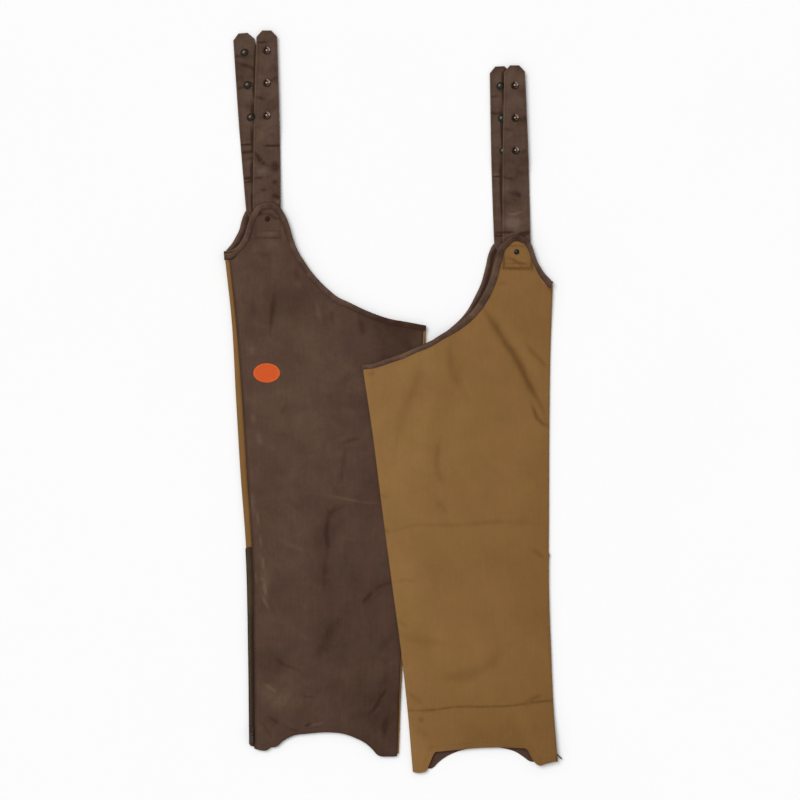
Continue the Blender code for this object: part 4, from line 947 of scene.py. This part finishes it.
strapShapes = {
    "frontA": StrapShape(shapeA, "upper", (-223.4, 294.8), (-223.4, 655.8), "upperLieA", [
        (1.8, 0.5, -1.1, (157, -8), (157.5, 30)),
        (2.2, 0.5, -1.0, (146, -21), (137, -15.5), (130, -10), (125.6, -5), (120, 5)),
        (6, -0.3, 0.5, (114, -20), (111, 6)), (1.5, 0.4, -0.9, (100, -24), (100, -7)),
        (6, 0.2, -0.6, (132, 14), (108, 17)), (4, 0.2, -0.6, (97, 11), (88, 19)),
        (3, 0.3, -0.8, (70, 8), (64, 26)), (3, 0.5, -0.5, (82, -14), (78, 2)),
        (3, 0.3, -0.6, (246, -24), (238, -2)), (3, 0.3, -0.5, (268, 2), (280, 20)),
        (2, 0.3, -0.8, (340, -18), (340, 2)), (8, 0, -0.5, (300, 6), (286, 20)),
        (3, 0.3, -0.5, (204, -14), (210, 4)), (4, 0, 0.8, (58, 16), (58, 23))]),
    "backA": StrapShape(shapeA, "lower", (-231.0, 292.1), (-265.7, 651.4), "lowerLie", [
        (1.2, -0.3, 1.0, (167.5, -30), (167.5, 20)), (1.4, 0.5, -1.4, (164.8, -30), (164.8, 30)),
        (2.5, 0.5, -0.9, (151, -30), (151, 6)), (3.5, 0.6, -1.0, (104, -30), (103, 28)),
        (1.0, -0.2, 1.0, (100.4, -30), (100.4, -10)), (1.3, 0.3, -1.2, (98, -30), (98, 26)),
        (3, 0.4, -0.5, (138, -24), (140, 10)), (3, 0.5, -0.7, (310, -14), (300, 6), (290, 26)),
        (2.5, 0.3, -0.7, (322, -22), (320, 4)), (3, 0.3, -0.6, (262, -24), (270, 8)),
        (6, 0, 0.3, (232, -20), (216, -4))]),
    "backB": StrapShape(shapeB, "upper", (219.3, 232.9), (215.1, 593.9), "upperLieB", [
        (1.8, 0.5, -1.4, (66, -28), (65, -4)), (4, 0.6, -1.2, (60, 0), (66, 28)),
        (2.0, 0.4, -0.6, (164, -24), (160, -2)), (1.6, -0.3, 1.0, (98, -18), (98, 0), (105, 14)),
        (9, -0.2, 0.8, (82, -22), (83, 8)), (3, 0.3, -0.6, (136, -6), (130, 12)),
        (18, 0, -0.35, (150, 0), (105, 0)), (3, 0.3, -0.5, (250, -24), (244, 0)),
        (4, 0.2, -0.5, (262, 2), (270, 24)), (3, 0.3, -0.5, (205, 2), (210, 22))]),
    "frontB": StrapShape(shapeB, "lower", (205.9, 232.1), (189.2, 592.7), "lowerLie", [
        (1.3, 0.4, -1.3, (167, -30), (167, 22)), (1.3, -0.3, 1.0, (170, -30), (169.6, 14)),
        (1.6, 0.4, -1.0, (67, -28), (66, 10)), (1.6, 0.4, -1.0, (61, -28), (61, 10)),
        (3, 0.4, -0.7, (280, -24), (276, 4)), (2, 0.3, -0.6, (308, -24), (308, 0))]),
}
strapOver = {"backA": strapShapes["frontA"], "frontB": strapShapes["backB"]}
strapPieces = [strapPiece(key, strap, strapOver.get(key)) for key, strap in strapShapes.items()]
print("straps laid")

# tape folded over the waist edges; rows are x and how far the tape reaches in, with a skirt added at its
# inner edge, and x and tone
tapes = {
    "frontA": {
        "ends": (-299.3, -250.5, 58.8), "skirt": [(-300, 6.2), (-286, 6.0), (-277, 0)],
        "reach": [(-300, 7.4), (-286, 7.4), (-277, 7.6), (-252, 8.2), (-244, 9.4), (-220, 10.8), (-200, 9.4),
                  (-190, 8.2), (-90, 7.8), (-25, 7.6), (60, 7.6)],
        "tone": [(-90, 0), (-25, -0.8), (60, -0.9)]},
    "backA": {
        "ends": (-297.0, -252.0, 56.0),
        "reach": [(-300, 8.2), (-286, 9.0), (-274, 11.5), (-250, 11.5), (-235, 8.2), (60, 8.2)]},
    "backB": {
        "ends": (283.0, 247.5, -53.6),
        "reach": [(-54, 5.6), (17, 5.8), (60, 6.0), (83, 6.6), (114, 8.2), (145, 9.7), (160, 10.8),
                  (180, 10.2), (196, 10.2), (206, 9.4), (219, 9.8), (230, 9.4), (238, 8.6), (246, 6.5),
                  (256, 5.8), (265, 7.4), (276, 9.0), (283, 11.0)],
        "tone": [(180, 0), (196, -0.4), (206, -0.5), (230, -0.5), (238, -0.3), (246, 0)]},
    "frontB": {"ends": (278.0, 232.0, -51.0), "reach": [(-54, 8.2), (283, 8.2)]},
}
# across the tape: share of the reach, height, tone, and whether it takes the skirt; the tone paints shade
# along the stitched groove and the tape's inner edge and a highlight beside the fold
tapeTop = [(1.0, 0.90, -1.0, 1), (0.95, 1.10, -0.2, 1), (0.86, 1.12, 0.1, 0), (0.79, 0.95, -0.7, 0),
           (0.70, 1.12, 0.1, 0), (0.4, 1.17, 0.0, 0), (0.0, 1.12, 0.25, 0)]
tapeUnder = [(0.0, -1.08), (0.5, -1.1), (1.0, -1.0)]
# painted shade along the folds of the corner tab and a painted highlight between them
skirtTone = {0.95: -0.6, 0.79: -1.2, 0.4: 0.3, 0.0: -1.2}


def cutBetween(edge, xFrom, xTo):
    edge = edge[np.argsort(edge[:, 0])]
    ends = np.array([[x, np.interp(x, edge[:, 0], edge[:, 1])] for x in (min(xFrom, xTo), max(xFrom, xTo))])
    between = edge[(edge[:, 0] > ends[0, 0]) & (edge[:, 0] < ends[1, 0])]
    clear = [np.hypot(*(ends - point).T).min() > 2.5 for point in between]
    return evenly(np.concatenate((ends[:1], between[clear], ends[1:])), 2.4)


def binding(key, part, xFrom, xTo):
    strap, tape = strapShapes[key], tapes[key]
    shape, layer = strap.shape, strap.layer
    line = cutBetween(shape.tops[layer], xFrom, xTo)
    normal = normalsOf(line, 1)
    for _ in range(2):
        normal[1:-1] = (normal[:-2] + 2 * normal[1:-1] + normal[2:]) / 4
    x, y = line.T
    nx, ny = normal.T
    reach, skirt, darker = [np.interp(x, *table(tape.get(name, [(0, 0)])))
                            for name in ("reach", "skirt", "tone")]
    strapAt, strapSide = strap.measure(x, y)
    clear = ease((np.abs(strapSide) - strap.width(np.clip(strapAt, 0, 300)) / 2) / 4)   # off the strap
    ruffle = softNoise(x, y, 9, 71)
    columns, tones = [], []

    def surface(inward):
        return shape.height(layer, x + nx * inward, y + ny * inward)

    def addColumn(inward, z, tone):
        columns.append(np.stack([x + nx * inward, y + ny * inward, z], axis=-1))
        tones.append(tone)

    for share, up, tone, skirted in tapeTop:
        inward = 0.6 + (reach - 0.6) * share + skirted * skirt + (0.35 * ruffle if share > 0.9 else 0.0)
        if layer == "lower":
            up = -0.15 + (up + 0.15) * clear
        z = surface(inward) + up + 0.1 * softNoise(x + 40 * share, y, 6, 72)
        # the corner tab's painted shade, and on the lower layer a painted shadow under the upper layer's
        # binding
        nose = skirt / 6.2 * skirtTone.get(share, 0)
        shaded = 1.1 * (layer == "lower") * ease(share)
        addColumn(inward, z, tone + 0.25 * ruffle + nose + darker - shaded)
    edgeZ = shape.height(layer, x, y)
    for angle in np.radians((60, 30, 0, -30, -60)):
        up = cloth["bindLift"] * math.sin(angle)
        if (up < 0) == (layer == "upper"):
            up = up * clear
        # the top of the fold painted lighter and its underside darker as the light falls, and painted shade
        # where the fold runs under the strap
        tone = darker + (0.2 if angle > 0 else -0.9) - 1.5 * (1 - clear) * (abs(angle) < 0.6)
        addColumn(-cloth["bindFold"] * math.cos(angle), edgeZ + up, tone)
    for share, up in tapeUnder:
        inward = 0.6 + (reach - 0.6) * share
        if layer == "upper":
            up = 0.15 + (up - 0.15) * clear
        addColumn(inward, surface(inward) + up, np.zeros(len(x)))
    piece = layGrid(key + "Binding" + part, np.stack(columns, axis=1))
    setAttribute(piece, "tone", np.stack(tones, axis=1))
    giveWall(piece, cloth["bindWall"])
    paint(piece, bindingTape)
    finishPiece(piece, "binding_tape", nodeOf(key, "binding_" + part.lower()))


for key, tape in tapes.items():
    outerEnd, joint, innerEnd = tape["ends"]
    gap = 0.08 * strapShapes[key].shape.inward
    binding(key, "Outer", outerEnd, joint - gap)
    binding(key, "Inner", joint + gap, innerEnd)
print("edges bound")


def turnRings(name, profile, segments, *finishes):
    radius, z = profile[0]
    bpy.ops.mesh.primitive_circle_add(
        vertices=segments, radius=radius * mm, fill_type="NGON", location=(0, 0, z * mm))
    piece = bpy.context.object
    piece.name = name
    bpy.ops.object.transform_apply(location=True, rotation=False, scale=False)

    def work():
        for (oldRadius, oldZ), (newRadius, newZ) in zip(profile, profile[1:]):
            bpy.ops.mesh.extrude_region_move(TRANSFORM_OT_translate={"value": (0, 0, (newZ - oldZ) * mm)})
            scale = newRadius / oldRadius
            bpy.ops.transform.resize(value=(scale, scale, 1), center_override=(0, 0, newZ * mm))
        bpy.ops.mesh.select_all(action="SELECT")
        bpy.ops.mesh.normals_make_consistent(inside=False)
    inEdit(piece, work)
    smoothPiece(piece, 35)
    paint(piece, *finishes)
    if len(finishes) > 1:       # the second finish: a painted highlight on the post in the middle and on the upper right of the rim
        for face in piece.data.polygons:
            x, y, z = face.center / mm
            out, turn = math.hypot(x, y), math.degrees(math.atan2(y, x))
            face.material_index = int(z > 0.5 and (out < 1.4 or (3.3 < out < 6.4 and 5 < turn < 95)))
    return piece


def copyTo(master, name, where):
    piece = master.copy()
    piece.data = master.data.copy()
    bpy.context.scene.collection.objects.link(piece)
    piece.name = name
    onlyActive(piece)
    piece.location = (np.array(where) + layShift) * mm
    bpy.ops.object.transform_apply(location=True, rotation=True, scale=True)
    return piece


strapFace = cloth["strapWall"] / 2


def above(*rings):     # radius, and height over the strap's face
    return [(radius, strapFace + height) for radius, height in rings]


def below(*rings):
    return [(radius, -strapFace - depth) for radius, depth in rings]


ringRings = [(3.0, -4.0)] + below((3.0, 1.2), (5.0, 1.1), (5.0, 0), (3.0, 0)) + above(
    (3.0, 0), (6.9, 0.05), (7.15, 0.4), (7.0, 0.9), (6.5, 1.35), (5.7, 1.55), (4.9, 1.3), (4.3, 0.5),
    (3.4, 0.3), (2.7, 0.3), (2.3, 0.8), (1.7, 1.25), (1.0, 1.35), (0.05, 1.35))
domeRings = below((6.0, 1.3), (6.6, 1.0), (6.6, 0), (3.0, 0)) + above(
    (3.0, 0), (7.4, 0.05), (7.8, 0.35), (7.8, 0.75), (7.4, 1.05), (6.9, 1.0), (6.5, 1.25), (5.6, 2.2),
    (4.2, 2.9), (2.6, 3.2), (1.2, 3.3), (0.05, 3.3))
rivetRings = [(2.0, -3.4), (2.0, 0.6), (4.4, 0.65), (4.9, 0.9), (4.8, 1.2), (4.3, 1.4), (3.7, 1.45),
              (3.4, 1.1), (2.9, 1.05), (2.5, 1.4), (1.8, 1.8), (0.9, 2.0), (0.05, 2.05)]
flatRings = [(4.8, -1.7), (5.0, -1.3), (5.0, -0.9), (2.0, -0.9), (2.0, 3.0), (0.05, 3.0)]
ringMaster = turnRings("ringMaster", ringRings, 32, ringMetal, cupMetal)
domeMaster = turnRings("domeMaster", domeRings, 32, domeMetal)
# the dome's finish serves here as the rivet's painted highlight
rivetMaster = turnRings("rivetMaster", rivetRings, 24, rivetMetal, domeMetal)
flatMaster = turnRings("flatMaster", flatRings, 24, rivetMetal)
for key, strap in strapShapes.items():
    master = ringMaster if strap.layer == "upper" else domeMaster
    for number, fromTip in enumerate(straps["snapsFromTip"], 1):
        at = straps["length"] - fromTip
        x, y = strap.place(at, 0.0)
        z = float(strap.height(np.array(at), np.array(0.0), False))
        piece = copyTo(master, f"snap{key[0].upper()}{key[1:]}{number}", (float(x), float(y), z))
        if key == "backA":
            paint(piece, warmMetal)
        finishPiece(piece, "gunmetal", nodeOf(key, f"snap_{number}"))

rivetSpots = {"frontA": (-222.1, 322.1), "backA": (-233.5, 320.0), "backB": (218.6, 263.7),
              "frontB": (204.6, 260.0)}
for key, (x, y) in rivetSpots.items():
    strap, node = strapShapes[key], nodeOf(key, "rivet")
    z = float(strap.shape.height(strap.layer, np.array([x]), np.array([y]))[0])
    piece = copyTo(rivetMaster if strap.layer == "upper" else flatMaster, node.replace("_", ""), (x, y, z))
    if strap.shape is shapeA:
        paint(piece, bronzeMetal)
    finishPiece(piece, "gunmetal", node)
for master in (ringMaster, domeMaster, rivetMaster, flatMaster):
    bpy.data.objects.remove(master)
print("snaps and rivets set")

# zip tapes with their rows of teeth; the tones run across leg A's tape, at its upper and its lower end:
# painted shade under its fold and at the seam, painted light on top of the fold, and a darker inner side
# towards the lower end
zips = {"wall": 1.0, "pitch": 2.2, "tooth": (2.6, 2.2, 1.8),
        "stripesA": (-0.6, -0.4, 0.1, 0.5, 0.3, 0.5, 0.2, 0.0, -0.3, -1.2),
        "stripesLow": (-0.6, -0.3, 0.1, 0.5, 0.4, 0.4, 0.1, -0.6, -1.1, -1.4)}


def tapeA():
    y = np.linspace(shapeA.hems["lower"][0, 1] + 0.5, zipTopA - 0.1, 130)
    edge = shapeA.line("outer", y)
    zLow, zUp = shapeA.lower(edge, y), shapeA.upper(edge, y)
    points = foldRound(edge, 1, y, zLow, zUp, 1.2, (-52, -30, -8, 14, 36, 58, 90))
    start = points[-1][:, 0]
    seam = shapeA.line("seam", y) - cloth["panelGap"] / 2
    for share in (0.35, 0.7, 1.0):
        x = start + (seam - start) * share
        z = shapeA.upper(x, y) - (0.3 if share == 1.0 else 0.0)
        points.append(np.stack([x, y, z], axis=-1))
    return np.stack(points, axis=1)


def tapeB():
    y = np.linspace(shapeB.hems["upper"][0, 1] + 1.5, zipTopB - 0.5, 130)
    inset = 3.0 + 4.6 / (1 + (np.abs(y + 622.0) / 40) ** 4)      # drawn in behind the slider
    edge = shapeB.line("outer", y) - inset
    tuck = cloth["cadWall"] / 2 + 0.3 + 0.6
    zUp, zLow = shapeB.upper(edge, y, False) - tuck, shapeB.lower(edge, y)
    folded = foldRound(edge, -1, y, zUp, zLow, 1.2, range(-90, 91, 30))
    start = folded[0] + np.array([-5.0, 0, 0])
    start[:, 2] = shapeB.upper(start[:, 0], y, False) - tuck
    seam = shapeB.line("seam", y) + cloth["panelGap"] / 2
    seam = edge - np.maximum(edge - seam, np.abs(zUp - zLow) / 2 + 1.2)
    last = np.stack([seam, y, shapeB.lower(seam, y)], axis=-1)
    return np.stack([start] + folded + [last], axis=1)


tapeRows = {"legA": tapeA(), "legB": tapeB()}
for key, grid in tapeRows.items():
    piece = layGrid(key + "ZipTape", grid)
    tone = np.zeros(grid.shape[:2])
    if key == "legA":
        down = ease((-330 - grid[..., 1]) / 90)
        tone = (1 - down) * np.array(zips["stripesA"]) + down * np.array(zips["stripesLow"])
    setAttribute(piece, "tone", tone)
    giveWall(piece, zips["wall"])
    paint(piece, zipTape)
    finishPiece(piece, "zip_tape", "leg_" + key[-1].lower() + "_zip_tape")


def sizedMaster(size, turn=0.0):     # the primitive that was just added, turned and sized
    piece = bpy.context.object

    def work():
        bpy.ops.transform.rotate(value=turn, orient_axis="Y", center_override=(0, 0, 0))
        bpy.ops.transform.resize(value=[v * mm for v in size], center_override=(0, 0, 0))
    inEdit(piece, work)
    return piece


def joinCopies(name, master, places, axes):
    base = np.array([v.co for v in master.data.vertices], float)
    faces = [tuple(p.vertices) for p in master.data.polygons]
    points = (np.einsum("kij,vj->kvi", axes, base) + ((places + layShift) * mm)[:, None, :]).reshape(-1, 3)
    allFaces = [tuple(v + i * len(base) for v in face) for i in range(len(places)) for face in faces]
    mesh = bpy.data.meshes.new(name)
    mesh.from_pydata(points.tolist(), [], allFaces)
    piece = bpy.data.objects.new(name, mesh)
    bpy.context.scene.collection.objects.link(piece)
    smoothPiece(piece, 50)
    return piece


toothFinish = metal("zipTeeth", (0.060, 0.045, 0.032), 0.42)
bpy.ops.mesh.primitive_cube_add(size=1, location=(0, 0, 0))
tooth = sizedMaster(zips["tooth"])
bevel = tooth.modifiers.new("round", "BEVEL")
bevel.width, bevel.segments = 0.35 * mm, 1
applyModifiers(tooth)
for key, column, outward in (("legA", 2, -1.0), ("legB", 3, 1.0)):
    line = (tapeRows[key][:, column] + tapeRows[key][:, column + 1]) / 2
    length = np.concatenate(([0], np.cumsum(np.linalg.norm(np.diff(line, axis=0), axis=1))))
    at = np.arange(3.0, length[-1] - 2.0, zips["pitch"] / 2)
    spot, ahead, behind = [np.stack([np.interp(at + step, length, line[:, i]) for i in range(3)], axis=1)
                           for step in (0, 0.5, -0.5)]
    run = (ahead - behind) / np.linalg.norm(ahead - behind, axis=1, keepdims=True)
    out = np.tile(np.array([outward, 0, 0]), (len(at), 1))
    across = np.cross(run, out)
    axes = np.stack([across, run * 0.62, out], axis=2)
    swing = np.where(np.arange(len(at)) % 2 == 0, 0.9, -0.9)[:, None]
    piece = joinCopies(key + "ZipTeeth", tooth, spot + across * swing + out * 0.8, axes)
    paint(piece, toothFinish)
    finishPiece(piece, "gunmetal")
bpy.data.objects.remove(tooth)
print("zips laid")

sewing = {"long": 3.2, "wide": 0.9, "thick": 0.54, "pitch": 3.9, "lift": 0.02}
bpy.ops.mesh.primitive_uv_sphere_add(segments=6, ring_count=4, radius=0.5, location=(0, 0, 0))
stitch = sizedMaster((sewing["long"], sewing["wide"], sewing["thick"]), math.pi / 2)
onPanel = cloth["wall"] / 2 + sewing["lift"]


def stitchesAlong(line, surface, wide=1.0, lift=onPanel):
    line = np.asarray(line, float)
    length = runOf(line)
    at = np.arange(sewing["pitch"] / 2, length[-1], sewing["pitch"])
    (x, y), (x1, y1), (x0, y0) = [
        [np.interp(at + step, length, line[:, i]) for i in (0, 1)] for step in (0, 1, -1)]
    run = np.stack([x1 - x0, y1 - y0, surface(x1, y1) - surface(x0, y0)], axis=1)
    run /= np.linalg.norm(run, axis=1, keepdims=True)
    across = np.stack([-run[:, 1], run[:, 0], np.zeros(len(x))], axis=1)
    across /= np.linalg.norm(across, axis=1, keepdims=True)
    up = np.cross(run, across)
    return np.stack([x, y, surface(x, y) + lift], axis=1), np.stack([run, across * wide, up], axis=2)


def sideRun(shape, key, offset, yFrom, yTo):
    y = np.linspace(yFrom, yTo, 200)
    return np.stack([shape.line(key, y) + offset, y], axis=1)


def beside(line, distance):
    return evenly(line + normalsOf(line, 1) * distance, 2.5, 12, 12)


def lineOf(*points):
    return smoothLine(points)


# each row is a line and how much wider than the rest its thread is
brownSewn = [stitchesAlong(line, shapeA.upper, wide) for line, wide in (
    (lineOf((-240.5, 322), (-236, 327.5), (-228.3, 330.2), (-218, 330.3), (-209, 327.5), (-203, 322.5),
            (-199.5, 321)), 1),
    (lineOf((-240.5, 324), (-240.5, 289.4)), 1), (lineOf((-198.2, 325), (-198.2, 289.4)), 1),
    (lineOf((-240.5, 300.9), (-198.2, 300.9)), 1.6), (lineOf((-240.5, 289.4), (-198.2, 289.4)), 1),
    (beside(shapeA.hems["upper"], -9.5), 1), (sideRun(shapeA, "seam", 2.4, -605, 250), 1),
    (sideRun(shapeA, "inner", -7.4, -614, 122), 1))]
tanSewn = [stitchesAlong(line, shapeB.upper, wide) for line, wide in (
    (lineOf((196.5, 236), (196.5, 257), (199.5, 266), (206, 273), (214, 276), (222, 275.5), (231, 271),
            (237, 263), (240, 254), (243, 246)), 1),
    (lineOf((201.8, 254.9), (201.8, 235.4)), 1), (lineOf((196.5, 242.5), (246, 242.5)), 1),
    (lineOf((196.5, 235.0), (246, 235.0)), 2), (lineOf(*legB["bandSeam"]), 2),
    (beside(shapeB.hems["upper"], 9.5), 1), (sideRun(shapeB, "outer", -3.2, -632, zipTopB - 4), 1))]
strapSewn = []
for strap in strapShapes.values():     # up one side, across the tip and down the other
    at = np.linspace(50, straps["length"] - 12.5, 120)
    half = strap.width(at) / 2 - 3.6
    sides = [np.stack(strap.place(at, sign * half), axis=1) for sign in (-1, 1)]
    tip = np.stack(strap.place(np.full(2, straps["length"] - 3.6), np.array([-7.0, 7.0])), axis=1)
    line = np.concatenate((sides[0], tip, sides[1][::-1]))
    strapSewn.append(stitchesAlong(line, strap.top, 0.7, strapFace - 0.18))
for name, sewn, finish, slotName in (("brownStitches", brownSewn, brownThread, "brown_canvas"),
                                     ("tanStitches", tanSewn, tanThread, "tan_canvas"),
                                     ("strapStitches", strapSewn, brownThread, "strap_canvas")):
    piece = joinCopies(name, stitch, *[np.concatenate(part) for part in zip(*sewn)])
    paint(piece, finish)
    finishPiece(piece, slotName)
bpy.data.objects.remove(stitch)
print("stitching sewn")

patchLook = {"centre": (-223.5, 49.6), "size": (47.0, 34.0), "rings": 14, "spokes": 96, "border": 2.6,
             "dark": (0.40, 0.035, 0.003), "base": (0.58, 0.075, 0.007), "light": (0.72, 0.15, 0.025)}


def patchPiece():
    (centreX, centreY), (wide, high), border = [patchLook[key] for key in ("centre", "size", "border")]
    ring = np.linspace(0.001, 1, patchLook["rings"])[:, None]
    angle = np.linspace(0, 2 * math.pi, patchLook["spokes"] + 1)
    x = centreX + ring * wide / 2 * np.cos(angle)
    y = centreY + ring * high / 2 * np.sin(angle)
    inside = (1 - ring) * high / 2 + 0 * x
    lift = cloth["cadWall"] / 2 + 0.5 + 0.35 * ridge(inside - border / 2, border * 0.45)
    z = shapeA.upper(x, y) + lift - 0.35 * ridge(inside, 0.7)
    piece = layGrid("patch", np.stack([x, y, z], axis=-1))
    setAttribute(piece, "border", (inside < border).astype(float))
    mergeDoubles(piece, 0.03)
    giveWall(piece, 0.8, -1.0)
    made = Finish("orangeEmbroidery")
    where = made.place()
    px, py, _ = made.axes(where)
    satin = ((px + py * 0.15) * (2 * math.pi / 0.0011)).sine() * 0.5 + 0.5
    fine = made.noise(where, 900.0, 2.0, 0.5)
    light = (satin * 0.45 + fine * 0.6 + made.attribute("border") * 0.15).clamped()
    shade = made.ramp(light, [(0.0, patchLook["dark"]), (0.55, patchLook["base"]), (1.0, patchLook["light"])])
    made.set(colour=shade, roughness=0.6, specular=0.2, normal=made.bump(satin + fine * 0.4, 0.6, 0.0003))
    paint(piece, made.material)
    finishPiece(piece, "orange_thread", "leg_a_patch")


patchPiece()
print("patch sewn on")

# sliders and pulls keep the frame's own solids
for leg in ("a", "b"):
    paint(nodes[f"leg_{leg}_zip_slider"], sliderMetal)
    paint(nodes[f"leg_{leg}_zip_pull"], pullMetal)

# floor, light and camera
studio = {"floorTone": 0.88, "world": 0.60, "sun": 1.92, "sunHeight": 58.0, "sunTurn": 135.0, "sunSoft": 0.7,
          "lens": 120.0, "pixels": 800, "pixelSize": 1.77, "clothHeight": 6.0}
bpy.ops.mesh.primitive_plane_add(size=8, location=(0, 0, -0.0002))
floor = bpy.context.object
floor.name = "floor"
floorFinish = Finish("floor")
grain = floorFinish.noise(floorFinish.place(), 3.0, 2.0, 0.5)
tone = studio["floorTone"]
floorFinish.set(colour=floorFinish.mix(grain, (tone,) * 3, (tone * 0.99,) * 3), roughness=0.9, specular=0.1)
paint(floor, floorFinish.material)

world = bpy.data.worlds.new("softLight")
bpy.context.scene.world = world
world.use_nodes = True
world.node_tree.nodes["Background"].inputs["Color"].default_value = (1, 1, 1, 1)
world.node_tree.nodes["Background"].inputs["Strength"].default_value = studio["world"]

sun = bpy.data.lights.new("sun", "SUN")
sun.energy, sun.angle = studio["sun"], studio["sunSoft"]
sunLamp = bpy.data.objects.new("sun", sun)
bpy.context.scene.collection.objects.link(sunLamp)
sunUp, sunTurn = math.radians(studio["sunHeight"]), math.radians(studio["sunTurn"])
toSun = Vector((math.cos(sunTurn) * math.cos(sunUp), math.sin(sunTurn) * math.cos(sunUp), math.sin(sunUp)))
sunLamp.location = toSun * 3
sunLamp.rotation_mode = "QUATERNION"
sunLamp.rotation_quaternion = (-toSun).to_track_quat("-Z", "Y")

cameraData = bpy.data.cameras.new("camera")
camera = bpy.data.objects.new("camera", cameraData)
bpy.context.scene.collection.objects.link(camera)
cameraData.lens, cameraData.sensor_width = studio["lens"], 36.0
span = studio["pixels"] * studio["pixelSize"] * mm
middle = ((400 - 393) * studio["pixelSize"], (401 - 400) * studio["pixelSize"])
camera.location = ((middle[0] + layShift[0]) * mm, (middle[1] + layShift[1]) * mm,
                   span / 2 / (18.0 / studio["lens"]) + studio["clothHeight"] * mm)
bpy.context.scene.camera = camera
bpy.context.scene.view_settings.view_transform = "Standard"
print("studio set")
